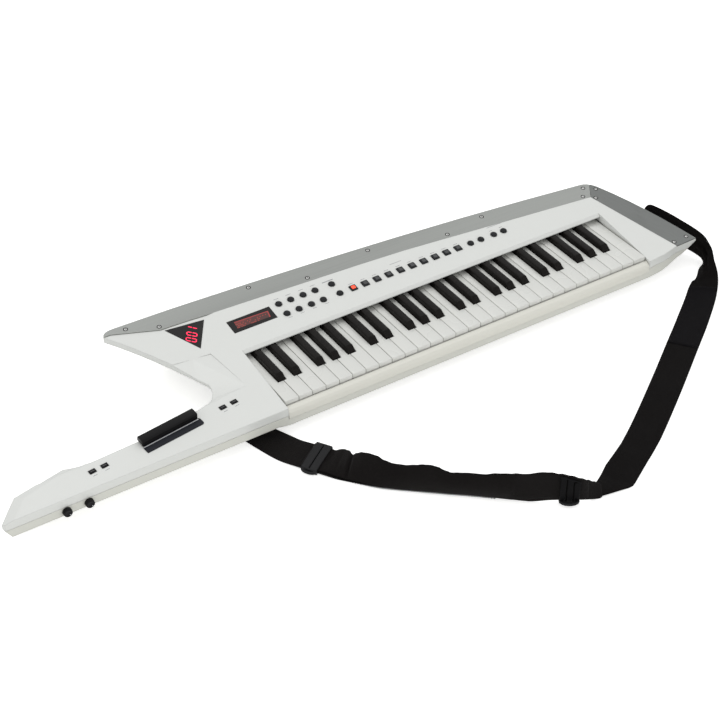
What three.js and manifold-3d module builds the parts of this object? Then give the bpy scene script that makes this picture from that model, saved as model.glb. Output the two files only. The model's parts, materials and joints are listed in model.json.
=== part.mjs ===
// A keytar: a strap-on keyboard with a neck, a pointed horn, metal edge plates and a webbing strap.
// Millimetres, +X along the length to the right, +Y to the back, +Z up, origin on the flat rest face below.
import * as THREE from 'three';
import { mergeVertices } from 'three/addons/utils/BufferGeometryUtils.js';
import Module from 'manifold-3d';

// Driving dimensions
const whiteKeyPitch = 23.5;
const whiteKeyCount = 29;
const whiteKeyGap = 0.9;
const keyBackMargin = 120;
const whiteKeyHeight = 14;
const whiteKeyHeadLength = 44.8;
const blackKeyWidth = 13.4;
const blackKeyTopWidth = 9.4;
const blackKeyRise = 8.8;
const blackKeyFront = 46;
const blackKeySlope = 9;
const blackKeyDepth = 12;
const keyHingeShare = 0.7132;
const keyArmWidth = 8;
const keyBarHeight = 5;
const keyBarDepth = 8;
const keyTopHeight = 53;

const deckTiltDegrees = 8;
const deckFrontShare = 0.125;
const neckReach = 454;
const endReach = 108;
const frontOverhang = 12;
const coverDepth = 272;
const coverWall = 2.6;
const upperDepth = 13.7;
const hornDepth = 12;
const hornFloor = 2.4;
const hornDrop = 2;
const neckUnderside = 33;
const humpDepth = 16;
const endLift = 9;
const humpInset = 18;
const restRightMargin = 121.5;
const restLeft = 60;
const restFrontMargin = 57;
const restBackMargin = 65;

const lipRise = 9.5;
const lipChamfer = 7;
const keyCoverLap = 19.4;
const openingSideGap = 1.4;
const slipHeight = 17.5;
const slipTopDrop = 7.5;

const plateThickness = 1.5;
const plateRecess = 0.3;
const plateJoint = 0.5;
const screwShankRadius = 1.3;

const roundButtonRadius = 5.3;
const squareButtonSide = 11.3;
const neckButtonLength = 10.5;
const neckButtonWidth = 7;
const buttonRise = 2;
const buttonTravel = 1;
const buttonClearance = 0.35;
const buttonStem = 4.2;
const carrierThickness = 2;

const displayLength = 76;
const displayWidth = 28;
const windowThickness = 1.4;
const windowRecess = 0.2;
const windowLedge = 2.5;
const moduleHeight = 5;

const modBarLength = 95.5;
const modBarWidth = 15;
const modBarRise = 11;
const ribbonLength = 95.5;
const ribbonWidth = 11;
const ribbonRise = 0.6;
const ribbonPocket = 1.2;
const trimWidth = 1.2;

const knobRadius = 7;
const knobHeight = 7;
const knobShaftRadius = 2.8;
const knobShaftLength = 5.6;
const knobSpacing = 34;
const knobDrop = 7;

const boardThickness = 1.6;
const batteryRadius = 7.2;
const batteryLength = 50.5;
const batteryRows = 4;
const batteryColumns = 2;
const bayWall = 2;

const pinBaseRadius = 9;
const pinNeckRadius = 4;
const pinHeadRadius = 8;
const pinHeadThickness = 3;
const endPinStandoff = 12;
const endPinGroove = 6;
const neckPinGroove = 11;

const strapWidth = 50;
const strapThickness = 2.2;
const sliderLength = 26;
const sliderRim = 3.4;
const sliderClearance = 0.8;

const fit = 0.3;
const overrun = 20;

// Derived levels and lengths
const bodyUnderside = keyTopHeight - humpDepth;
const whiteKeyLength = coverDepth - frontOverhang - keyBackMargin;
const keyHingeSetback = keyHingeShare * coverDepth - frontOverhang;
const lipFoot = whiteKeyLength - keyCoverLap;
const keyboardWidth = whiteKeyCount * whiteKeyPitch;
const frontLine = -frontOverhang;
const deckTilt = THREE.MathUtils.degToRad(deckTiltDegrees);
const deckFront = frontLine + deckFrontShare * coverDepth;
const deckStart = (frontLine - deckFront) / Math.cos(deckTilt);
const floorLevel = -keyTopHeight;
const farAway = neckReach + keyboardWidth + endReach;
const restRight = keyboardWidth - restRightMargin;
const restWidth = restRight - restLeft;
const restFront = frontLine + restFrontMargin;
const restDepth = coverDepth - restFrontMargin - restBackMargin;
const restBack = restFront + restDepth;

// Materials, one for each look
function material(color, roughness, metalness) {
  return new THREE.MeshStandardMaterial({ color, roughness, metalness });
}
const looks = {
  coverWhite: material(0xdfe3e3, 0.42, 0),
  warmWhite: material(0xd6d2c8, 0.45, 0),
  keyWhite: material(0xe9ebe6, 0.3, 0),
  keyBlack: material(0x1b1a1a, 0.35, 0),
  brushedPlate: material(0x9da39f, 0.35, 0.9),
  darkPlate: material(0x7c8080, 0.38, 0.9),
  smokedWindow: material(0x1a1c1d, 0.12, 0),
  displayRed: material(0xd02a38, 0.4, 0),
  buttonGrey: material(0x2f3233, 0.5, 0),
  touchBlack: material(0x15161a, 0.35, 0),
  trimSilver: material(0xc9cdd0, 0.25, 0.9),
  frameSteel: material(0x8d9192, 0.45, 0.8),
  boardGreen: material(0x2c5a3c, 0.6, 0),
  batterySleeve: material(0x6a5a3a, 0.4, 0.3),
  webbing: material(0x161416, 0.9, 0),
  sliderPlastic: material(0x3a3a3b, 0.55, 0),
};

// Solids and booleans
const wasm = await Module();
wasm.setup();

function toSolid(geometry) {
  const bare = geometry.clone();
  bare.deleteAttribute('normal');
  bare.deleteAttribute('uv');
  const merged = mergeVertices(bare);
  const vertProperties = merged.attributes.position.array;
  const triVerts = Uint32Array.from(merged.index.array);
  return new wasm.Manifold(new wasm.Mesh({ numProp: 3, vertProperties, triVerts }));
}

function toGeometry(solid) {
  const mesh = solid.getMesh();
  const geometry = new THREE.BufferGeometry();
  geometry.setAttribute('position', new THREE.Float32BufferAttribute(mesh.vertProperties, 3));
  geometry.setIndex(Array.from(mesh.triVerts));
  geometry.computeVertexNormals();
  return geometry;
}

function union(solids) {
  return solids.reduce((sum, solid) => sum.add(solid));
}

// Plain shapes: a block between two corners, a post, and prisms along each axis
function block(x0, x1, y0, y1, z0, z1) {
  const geometry = new THREE.BoxGeometry(x1 - x0, y1 - y0, z1 - z0);
  return geometry.translate((x0 + x1) / 2, (y0 + y1) / 2, (z0 + z1) / 2);
}

function post(x, y, radius, z0, z1, sides) {
  const geometry = new THREE.CylinderGeometry(radius, radius, z1 - z0, sides);
  return geometry.rotateX(Math.PI / 2).translate(x, y, (z0 + z1) / 2);
}

function extruded(points, length) {
  return new THREE.ExtrudeGeometry(new THREE.Shape(points), { depth: length, bevelEnabled: false });
}

function upright(points, z0, z1) {
  return extruded(points, z1 - z0).translate(0, 0, z0);
}

// Section points are (y, z) for a prism along X and (x, z) for a prism along Y
function prismAlongX(section, x0, x1) {
  const turn = new THREE.Matrix4().makeBasis(at3(0, 1, 0), at3(0, 0, 1), at3(1, 0, 0));
  return extruded(section, x1 - x0).applyMatrix4(turn).translate(x0, 0, 0);
}

function prismAlongY(section, y0, y1) {
  const turn = new THREE.Matrix4().makeBasis(at3(1, 0, 0), at3(0, 0, 1), at3(0, -1, 0));
  return extruded(section, y1 - y0).applyMatrix4(turn).translate(0, y1, 0);
}

function at(x, y) {
  return new THREE.Vector2(x, y);
}

function at3(x, y, z) {
  return new THREE.Vector3(x, y, z);
}

// A closed solid through rings of points, each ring listed counterclockwise from above, lowest first
function ringSolid(rings) {
  const count = rings[0].length;
  const flat = rings[0].map((point) => at(point.x, point.y));
  const caps = THREE.ShapeUtils.triangulateShape(flat, []);
  const index = [];
  for (const [a, b, c] of caps) {
    index.push(a, c, b);
  }
  for (let level = 0; level + 1 < rings.length; level += 1) {
    for (let i = 0; i < count; i += 1) {
      const next = (i + 1) % count;
      const low = level * count;
      const high = low + count;
      index.push(low + i, low + next, high + next, low + i, high + next, high + i);
    }
  }
  const top = (rings.length - 1) * count;
  for (const [a, b, c] of caps) {
    index.push(top + a, top + b, top + c);
  }
  const geometry = new THREE.BufferGeometry().setFromPoints(rings.flat());
  geometry.setIndex(index);
  return geometry;
}

// A polygon drawn in by a distance along its mitres, for a counterclockwise outline
function drawnIn(points, distance) {
  return points.map((point, i) => {
    const before = points[(i + points.length - 1) % points.length];
    const after = points[(i + 1) % points.length];
    const inward = at(point.x - before.x, point.y - before.y).normalize().rotateAround(at(0, 0), Math.PI / 2);
    const outward = at(after.x - point.x, after.y - point.y).normalize().rotateAround(at(0, 0), Math.PI / 2);
    const mitre = inward.clone().add(outward).normalize();
    const stretch = distance / Math.max(mitre.dot(inward), Math.SQRT1_2 / 2);
    return at(point.x + mitre.x * stretch, point.y + mitre.y * stretch);
  });
}

// The deck is the tilted plane of the whole top; deck points are (x, distance up the slope, height above it)
const deckPlacement = new THREE.Matrix4().makeRotationX(deckTilt).setPosition(0, deckFront, 0);

function onDeck(geometry) {
  return toSolid(geometry.applyMatrix4(deckPlacement));
}

function deckSlab(low, high) {
  return onDeck(block(-farAway, farAway, -farAway, farAway, low, high));
}

// Height of the deck above the key tops at a distance from the key fronts
function deckLevel(y) {
  return (y - deckFront) * Math.tan(deckTilt);
}

// Outlines from above, as shares of the neck's reach, the keyboard, the end's reach and the cover's depth
function onNeck([reachShare, depthShare]) {
  return at(-reachShare * neckReach, frontLine + depthShare * coverDepth);
}

function onEnd([reachShare, depthShare]) {
  return at(keyboardWidth + reachShare * endReach, frontLine + depthShare * coverDepth);
}

function alongKeys([widthShare, depthShare]) {
  return at(widthShare * keyboardWidth, frontLine + depthShare * coverDepth);
}

function bendTo(path, control, end) {
  path.quadraticCurveTo(control.x, control.y, end.x, end.y);
}

function lineTo(path, point) {
  path.lineTo(point.x, point.y);
}

const frontShares = {
  headFoot: [0.969, 0], cheek: [0.023, 0.004], cheekBend: [0.319, 0.013], cheekTurn: [0.606, 0.037],
};
const endShares = { tip: [1, 0.041], bend: [0.745, 0.441], shoulder: [0.421, 0.699], corner: [0.343, 0.768] };
const backShares = { start: [0.199, 0.779], bend: [0.528, 0.928], end: [-0.079, 0.989] };
const hornShares = {
  back: [0.33, 0.998], nose: [0.37, 1], tip: [0.377, 0.967],
  bend: [0.267, 0.724], root: [0.17, 0.382],
};
const throatShares = {
  upperBend: [0.167, 0.338], middle: [0.192, 0.287], lowerBend: [0.216, 0.228], end: [0.273, 0.222],
};
const bulgeShares = {
  back: [0.19, 0.985], corner: [0.203, 0.811], knee: [0.132, 0.577],
  root: [0.128, 0.412], turn: [0.159, 0.287], end: [0.22, 0.228],
};
const neckBackShares = {
  middle: [0.493, 0.176], dip: [0.637, 0.164], dipBend: [0.694, 0.158], shoulder: [0.744, 0.204],
  corner: [0.923, 0.147], headTop: [0.998, 0.018], headBend: [0.991, 0.002],
};

function frontAndEnd(path) {
  const start = onNeck(frontShares.headFoot);
  path.moveTo(start.x, start.y);
  lineTo(path, onEnd(frontShares.cheek));
  lineTo(path, onEnd(frontShares.cheekBend));
  lineTo(path, onEnd(frontShares.cheekTurn));
  lineTo(path, onEnd(endShares.tip));
  bendTo(path, onEnd(endShares.bend), onEnd(endShares.shoulder));
  bendTo(path, onEnd(endShares.corner), onEnd(backShares.start));
  bendTo(path, alongKeys(backShares.bend), alongKeys(backShares.end));
}

function neckBack(path) {
  lineTo(path, onNeck(neckBackShares.middle));
  lineTo(path, onNeck(neckBackShares.dip));
  bendTo(path, onNeck(neckBackShares.dipBend), onNeck(neckBackShares.shoulder));
  lineTo(path, onNeck(neckBackShares.corner));
  lineTo(path, onNeck(neckBackShares.headTop));
  lineTo(path, onNeck(neckBackShares.headBend));
}

const outlineSteps = 6;

function topOutline() {
  const path = new THREE.Path();
  frontAndEnd(path);
  lineTo(path, onNeck(hornShares.back));
  bendTo(path, onNeck(hornShares.nose), onNeck(hornShares.tip));
  bendTo(path, onNeck(hornShares.bend), onNeck(hornShares.root));
  bendTo(path, onNeck(throatShares.upperBend), onNeck(throatShares.middle));
  bendTo(path, onNeck(throatShares.lowerBend), onNeck(throatShares.end));
  neckBack(path);
  return path.getPoints(outlineSteps);
}

function lowerOutline() {
  const path = new THREE.Path();
  frontAndEnd(path);
  for (const corner of Object.values(bulgeShares)) {
    lineTo(path, onNeck(corner));
  }
  neckBack(path);
  return path.getPoints(outlineSteps);
}

const topPoints = topOutline();
const lowerPoints = lowerOutline();
const lowerInside = toSolid(upright(drawnIn(lowerPoints, coverWall), -farAway, farAway));

// The underside seen from the front: level below neck and body, then sweeping up to the thin end tip
const undersideShares = {
  headRise: 0.45, headReach: 0.974, bodyStart: 0.044, sweepStart: 0.08, sweepBend: 0.62,
};

function undersideMask(lift) {
  const path = new THREE.Path();
  const headX = -neckReach * undersideShares.headReach;
  path.moveTo(-farAway, -neckUnderside * undersideShares.headRise + lift);
  path.lineTo(-neckReach, -neckUnderside * undersideShares.headRise + lift);
  path.lineTo(headX, -neckUnderside + lift);
  path.lineTo(-neckReach * undersideShares.bodyStart, -neckUnderside + lift);
  path.lineTo(0, -bodyUnderside + lift);
  path.lineTo(keyboardWidth + endReach * undersideShares.sweepStart, -bodyUnderside + lift);
  const bend = at(keyboardWidth + endReach * undersideShares.sweepBend, -bodyUnderside + lift);
  bendTo(path, bend, at(keyboardWidth + endReach, -endLift + lift));
  path.lineTo(farAway, -endLift + lift);
  path.lineTo(farAway, farAway);
  path.lineTo(-farAway, farAway);
  return toSolid(prismAlongY(path.getPoints(outlineSteps), -farAway, farAway));
}

// The key opening: a well open to the front, with a sloped lip at its back that the keys run under
function keyOpening() {
  const left = -openingSideGap;
  const right = keyboardWidth + openingSideGap;
  const lipTop = lipFoot + lipChamfer;
  const section = [
    at(-farAway, -farAway), at(lipFoot, -farAway), at(lipFoot, lipRise),
    at(lipTop, lipRise + lipChamfer), at(lipTop, farAway), at(-farAway, farAway),
  ];
  const well = toSolid(prismAlongX(section, left, right));
  const keyRoom = toSolid(block(left, right, 0, lipTop + lipChamfer, -farAway, lipRise));
  return well.add(keyRoom);
}

// The strip of plate: its inner edge on the deck, as shares of the same outline
const plateInnerShares = {
  hornEnd: [0.352, 0.961], hornJoin: [0.194, 0.865], hornFold: [0.086, 0.858],
};
const plateKeysShares = {
  left: [0, 0.846], middle: [0.383, 0.798], right: [0.505, 0.779], mitreIn: [1.023, 0.651],
};
const plateFrontShares = [0.606, 0.044];

function plateInnerLine() {
  return [
    onEnd(plateFrontShares), alongKeys(plateKeysShares.mitreIn), alongKeys(plateKeysShares.right),
    alongKeys(plateKeysShares.middle), alongKeys(plateKeysShares.left), onNeck(plateInnerShares.hornFold),
    onNeck(plateInnerShares.hornJoin), onNeck(plateInnerShares.hornEnd),
  ];
}

// The whole band that the plates cover, from above, drawn in by a joint gap
function plateBand(gap) {
  const inner = plateInnerLine();
  const front = frontLine - coverDepth;
  const back = frontLine + 2 * coverDepth;
  const points = [
    at(inner[0].x, front), at(farAway, front), at(farAway, back), at(-neckReach, back),
    at(-neckReach, inner[inner.length - 1].y), ...inner.reverse(),
  ];
  return toSolid(upright(drawnIn(points, gap), -farAway, farAway));
}

// Where the end plate lies: right of the mitre line from the inner corner to the outer one
function endPlateZone(gap) {
  const inner = alongKeys(plateKeysShares.mitreIn);
  const outer = onEnd(endShares.corner);
  const beyond = outer.clone().sub(inner).multiplyScalar(2).add(outer);
  const points = [
    inner, at(inner.x, -farAway), at(farAway, -farAway), at(farAway, beyond.y), beyond,
  ];
  return toSolid(upright(drawnIn(points, gap), -farAway, farAway));
}

const plateTop = -plateRecess;
const plateBottom = plateTop - plateThickness;
const plateBed = plateBottom - fit;
const plateOutline = toSolid(upright(drawnIn(topPoints, fit), -farAway, farAway));
const plateStock = plateBand(fit).intersect(plateOutline).intersect(deckSlab(plateBottom, plateTop));

// Controls on the deck, from shares of the keyboard and the cover's depth
const roundGroupShares = {
  round_buttons_upper: [[0.145, 0.7382], [0.177, 0.7382], [0.21, 0.7382], [0.242, 0.7382]],
  round_buttons_lower: [[0.146, 0.6482], [0.178, 0.6482], [0.211, 0.6482], [0.243, 0.6482]],
  round_buttons_pair: [[0.287, 0.7382], [0.288, 0.6492]],
  round_buttons_right: [[0.657, 0.6512], [0.687, 0.6512], [0.725, 0.6512], [0.754, 0.6512]],
};
const squareRowShares = { start: 0.325, end: 0.62, depth: 0.6512 };
const squareButtonCount = 10;
const neckButtonShares = [[0.6710, 0.1052], [0.6275, 0.1112], [0.1861, 0.1802], [0.1426, 0.1872]];
const neckButtonTurn = THREE.MathUtils.degToRad(6);

function onPanel([x, v]) {
  return at(x * keyboardWidth, deckStart + v * coverDepth);
}

function onNeckDeck([x, v]) {
  return at(-x * neckReach, deckStart + v * coverDepth);
}

const squarePlaces = Array.from({ length: squareButtonCount }, (_, i) => {
  const share = THREE.MathUtils.lerp(squareRowShares.start, squareRowShares.end, i / (squareButtonCount - 1));
  return onPanel([share, squareRowShares.depth]);
});
const neckPlaces = neckButtonShares.map(onNeckDeck);

function squarePrism(place, length, width, turn, low, high) {
  const geometry = block(-length / 2, length / 2, -width / 2, width / 2, low, high);
  return geometry.rotateZ(turn).translate(place.x, place.y, 0);
}

function buttonHoles() {
  const low = -upperDepth;
  const high = upperDepth;
  const rounds = Object.values(roundGroupShares).flat().map(onPanel)
    .map((place) => onDeck(post(place.x, place.y, roundButtonRadius + buttonClearance, low, high, 16)));
  const side = squareButtonSide + 2 * buttonClearance;
  const squares = squarePlaces.map((place) => onDeck(squarePrism(place, side, side, 0, low, high)));
  const length = neckButtonLength + 2 * buttonClearance;
  const width = neckButtonWidth + 2 * buttonClearance;
  const onTheNeck = neckPlaces
    .map((place) => onDeck(squarePrism(place, length, width, neckButtonTurn, low, high)));
  return union([...rounds, ...squares, ...onTheNeck]);
}

// Display windows: a rectangle on the panel and a triangle on the horn, each on a ledge
const displayCentreShares = [0.066, 0.6982];
const displayCentre = onPanel(displayCentreShares);
const displayCorners = [
  at(displayCentre.x - displayLength / 2, displayCentre.y - displayWidth / 2),
  at(displayCentre.x + displayLength / 2, displayCentre.y - displayWidth / 2),
  at(displayCentre.x + displayLength / 2, displayCentre.y + displayWidth / 2),
  at(displayCentre.x - displayLength / 2, displayCentre.y + displayWidth / 2),
];
const triangleShares = [[0.1171, 0.6392], [0.0405, 0.8362], [0.1831, 0.8632]];
const triangleCorners = triangleShares.map(onNeckDeck);

function windowSeat(corners, surface) {
  const bed = surface - windowRecess - windowThickness - fit;
  const seat = onDeck(upright(corners, bed, upperDepth));
  return seat.add(onDeck(upright(drawnIn(corners, windowLedge), -upperDepth, upperDepth)));
}

function windowPane(corners, surface) {
  const top = surface - windowRecess;
  return upright(drawnIn(corners, fit), top - windowThickness, top);
}

// The horn's own surface lies lower, behind a narrow sloped strip, and scoops down to the throat
const hornPatchShares = {
  high: [
    [0.1021, 0.5712], [-0.0045, 0.8542], [-0.0045, 1.2262],
    [0.5254, 1.2262], [0.5254, 0.5762], [0.1801, 0.5562],
  ],
  low: [
    [0.1186, 0.6112], [0.0285, 0.8652], [0.0285, 1.2262],
    [0.5254, 1.2262], [0.5254, 0.5762], [0.1801, 0.5662],
  ],
};
const scoopDepth = 10;
const scoopShares = [
  [0.0706, 0.2622, 0], [0.1021, 0.5712, 0.1], [0.1651, 0.5862, 0.2], [0.2492, 0.6042, 0.3],
  [0.2041, 0.3962, 1], [0.2147, 0.2912, 0.9], [0.2282, 0.2332, 0],
];

function hornPatch() {
  const low = hornPatchShares.low.map(onNeckDeck).map((point) => at3(point.x, point.y, -hornDrop));
  const high = hornPatchShares.high.map(onNeckDeck).map((point) => at3(point.x, point.y, 0));
  const above = high.map((point) => at3(point.x, point.y, upperDepth));
  return onDeck(ringSolid([low, high, above]));
}

function scoop(lift) {
  const low = scoopShares
    .map(([x, v, drop]) => at3(-x * neckReach, deckStart + v * coverDepth, lift - drop * scoopDepth));
  const high = low.map((point) => at3(point.x, point.y, upperDepth));
  return onDeck(ringSolid([low, high]));
}

// The head's bevelled faces at the far end of the neck: x, distance up the slope, drop
const headBevelDrop = 8;
const headBevelShares = [
  [-0.974, -0.0208, 0], [-0.96, 0.0052, 0], [-0.899, 0.1112, 0], [-0.762, 0.1662, 0], [-0.709, 0.1482, 0],
  [-0.678, 0.1702, 0.1], [-0.733, 0.2442, 0.9], [-0.947, 0.1772, 1], [-1.04, -0.0208, 1.1],
];

function headBevel() {
  const low = headBevelShares
    .map(([x, v, drop]) => at3(x * neckReach, deckStart + v * coverDepth, -drop * headBevelDrop));
  const high = low.map((point) => at3(point.x, point.y, upperDepth));
  return onDeck(ringSolid([low, high]));
}

// Ribbon and modulation bar share a place on the neck, turned with the neck's back edge
const barPlaceShares = [0.4894, 0.1262];
const barPlace = onNeckDeck(barPlaceShares);
const barTurn = THREE.MathUtils.degToRad(7.1);
const barPlacement = new THREE.Matrix4().makeRotationZ(barTurn).setPosition(barPlace.x, barPlace.y, 0);

function ribbonPocketCut() {
  const front = -ribbonWidth - trimWidth - 3 * fit;
  const pocket = block(-fit, ribbonLength + fit, front, 0, -ribbonPocket, upperDepth);
  return onDeck(pocket.applyMatrix4(barPlacement));
}

// Posts that hold the covers together: places seen from above, as shares of the same outline
const coverPostShares = {
  neck: [[0.885, 0.05], [0.44, 0.09], [0.03, 0.42]],
  keys: [[0.06, 0.9], [0.45, 0.86], [0.85, 0.79]],
  end: [[0.13, 0.3]],
};
const coverPosts = [
  ...coverPostShares.neck.map(onNeck),
  ...coverPostShares.keys.map(alongKeys),
  ...coverPostShares.end.map(onEnd),
];
const coverPostRadius = 4;
const coverBoreRadius = 1.8;
const coverScrewHeadRadius = 3.4;
const coverScrewHeadHeight = 1.8;
const coverScrewLength = 12;

// Level of the underside's skin at a post
function undersideAt(place) {
  const slopeShare = THREE.MathUtils.clamp(1 + place.x / (neckReach * undersideShares.bodyStart), 0, 1);
  return -THREE.MathUtils.lerp(neckUnderside, bodyUnderside, slopeShare);
}

const postSplit = 6;

// Bosses hang from the panel between the buttons and carry its circuit boards
const panelBossShares = [[0.161, 0.6932], [0.26, 0.6932], [0.44, 0.7262], [0.56, 0.7262], [0.705, 0.7262]];
const neckBossShares = [[0.7025, 0.1022], [0.5959, 0.1112], [0.2192, 0.1762], [0.1096, 0.1872]];
const bossRadius = 2.2;
const buttonFoot = -buttonStem - carrierThickness;
const boardTop = buttonFoot - buttonTravel - fit;

// Jack sockets in the back wall
const jackBoreRadius = 3.5;
const jackCollarRadius = 5.6;
const jackBody = 14;
const jackDepth = 22;
const jackCollarLength = 5;
const jackLevel = -12;
const jackShares = { output_jack: 0.12, power_inlet: 0.2 };
const backCurve = new THREE.QuadraticBezierCurve(
  onEnd(backShares.start), alongKeys(backShares.bend), alongKeys(backShares.end),
);

// Where the back wall's outer face is at a distance along the keyboard
function backWallAt(x) {
  const points = backCurve.getPoints(outlineSteps);
  const i = points.findIndex((point) => point.x <= x);
  const share = (x - points[i].x) / (points[i - 1].x - points[i].x);
  return THREE.MathUtils.lerp(points[i].y, points[i - 1].y, share);
}

function postAlongY(x, z, radius, y0, y1, sides) {
  return new THREE.CylinderGeometry(radius, radius, y1 - y0, sides).translate(x, (y0 + y1) / 2, z);
}

function topCover() {
  const band = plateBand(0).intersect(deckSlab(plateBed, upperDepth));
  const hornFront = frontLine + coverDepth / 4;
  const hornZone = toSolid(block(
    -neckReach, -neckReach * bulgeShares.root[0], hornFront, farAway, -farAway, farAway));
  const lower = toSolid(upright(lowerPoints, -farAway, farAway));
  const belowHorn = deckSlab(-farAway, -hornDepth).intersect(hornZone).subtract(lower);
  const outside = toSolid(upright(topPoints, -farAway, farAway))
    .intersect(deckSlab(-upperDepth, 0)).intersect(undersideMask(0)).subtract(belowHorn);
  const ceiling = hornDrop + windowRecess + windowThickness + fit + coverWall / 2;
  const hornCeiling = deckSlab(-ceiling, 0).intersect(hornPatch().add(scoop(0)).add(onDeck(
    upright(hornPatchShares.high.map(onNeckDeck), -ceiling, 0))));
  const hornBase = deckSlab(-farAway, -hornDepth + hornFloor).intersect(hornZone).subtract(lowerInside);
  const wellWalls = toSolid(block(
    -openingSideGap - coverWall, keyboardWidth + openingSideGap + coverWall,
    -farAway, lipFoot + lipChamfer + coverWall, -farAway, farAway));
  const cavity = toSolid(upright(drawnIn(topPoints, coverWall), -farAway, farAway))
    .intersect(deckSlab(-farAway, -coverWall)).intersect(undersideMask(coverWall))
    .subtract(wellWalls).subtract(hornCeiling).subtract(hornBase)
    .subtract(scoop(-coverWall)).subtract(headBevelSkin())
    .subtract(plateBand(0).intersect(deckSlab(plateBed - coverWall, 0)));
  const posts = union(coverPosts.map((place) => {
    const foot = undersideAt(place) + coverWall + postSplit;
    return toSolid(post(place.x, place.y, coverPostRadius, foot, deckLevel(place.y) - coverWall / 2, 10));
  }));
  const bores = union(coverPosts.map((place) => {
    const foot = undersideAt(place) + coverWall + postSplit;
    return toSolid(post(place.x, place.y, coverBoreRadius, foot - fit, foot + coverScrewLength, 8));
  }));
  const bosses = union([...panelBossShares.map(onPanel), ...neckBossShares.map(onNeckDeck)]
    .map((place) => onDeck(post(place.x, place.y, bossRadius, boardTop + fit, -coverWall / 2, 8))));
  return outside.subtract(cavity).add(posts).add(bosses).subtract(bores)
    .subtract(keyOpening()).subtract(band).subtract(hornPatch()).subtract(scoop(0)).subtract(headBevel())
    .subtract(buttonHoles()).subtract(windowSeat(displayCorners, 0))
    .subtract(windowSeat(triangleCorners, -hornDrop)).subtract(ribbonPocketCut());
}

// The skin left below the head's bevelled faces
function headBevelSkin() {
  const low = headBevelShares
    .map(([x, v, drop]) => at3(x * neckReach, deckStart + v * coverDepth, -drop * headBevelDrop - coverWall));
  const high = low.map((point) => at3(point.x, point.y, upperDepth));
  return onDeck(ringSolid([low, high]));
}

// Hump under the body: a shallow tapered tray whose flat floor is the rest face
function humpSolid(inset, low, high) {
  const foot = [
    at3(restLeft + inset, restFront + inset, low), at3(restRight - inset, restFront + inset, low),
    at3(restRight - inset, restBack - inset, low), at3(restLeft + inset, restBack - inset, low),
  ];
  const spread = humpInset;
  const head = [
    at3(restLeft - spread + inset, restFront - spread + inset, high),
    at3(restRight + spread - inset, restFront - spread + inset, high),
    at3(restRight + spread - inset, restBack + spread - inset, high),
    at3(restLeft - spread + inset, restBack + spread - inset, high),
  ];
  return toSolid(ringSolid([foot, head]));
}

// Battery bay in the hump
const bayPlaceShares = [0.66, 0.5];
const bayClearance = 1;
const bayLength = batteryColumns * batteryLength + 2 * bayClearance;
const bayWidth = batteryRows * 2 * batteryRadius + (batteryRows + 1) * fit;
const bayCentre = at(restLeft + restWidth * bayPlaceShares[0], restFront + restDepth * bayPlaceShares[1]);
const bayLedge = 3;
const batteryCoverThickness = 1.2;
const humpFloor = floorLevel + coverWall;
const bayCeiling = humpFloor + 2 * batteryRadius + fit;

function centred(centre, length, width, z0, z1) {
  return block(
    centre.x - length / 2, centre.x + length / 2, centre.y - width / 2, centre.y + width / 2, z0, z1);
}

// Main board and key frame stand on posts from the bottom cover
const mainBoardPlaceShares = [0.24, 0.5];
const mainBoardLength = 190;
const mainBoardWidthShare = 0.6;
const mainBoardWidth = mainBoardWidthShare * restDepth;
const mainBoardLift = 5;
const mainBoardCentre = at(
  restLeft + restWidth * mainBoardPlaceShares[0], restFront + restDepth * mainBoardPlaceShares[1]);
const mainBoardCornerShares = [[-0.45, -0.42], [0.45, -0.42], [0.45, 0.42], [-0.45, 0.42]];
const mainBoardCorners = mainBoardCornerShares.map(
  ([x, y]) => at(mainBoardCentre.x + x * mainBoardLength, mainBoardCentre.y + y * mainBoardWidth));
const standoffRadius = 3;

const framePostHeight = 2;
const frameFloor = -bodyUnderside + coverWall + framePostHeight;
const frameThickness = 2;
const frameFront = 8;
const frameBackMargin = 14;
const frameBack = keyHingeSetback + frameBackMargin;
const hingeGap = 0.4;
const railFront = keyHingeSetback + keyBarDepth / 2 + hingeGap;
const railThickness = 2;
const framePostShares = [
  [0.03, 0.06], [0.35, 0.05], [0.65, 0.05], [0.97, 0.06],
  [0.02, 0.96], [0.35, 0.96], [0.65, 0.96], [0.97, 0.96],
];
const framePosts = framePostShares.map(([x, y]) => at(x * keyboardWidth, y * frameBack));

function floorUnder(place) {
  const overHump = place.x > restLeft - humpInset && place.x < restRight + humpInset
    && place.y > restFront - humpInset && place.y < restBack + humpInset;
  return overHump ? humpFloor : -bodyUnderside + coverWall;
}

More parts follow.
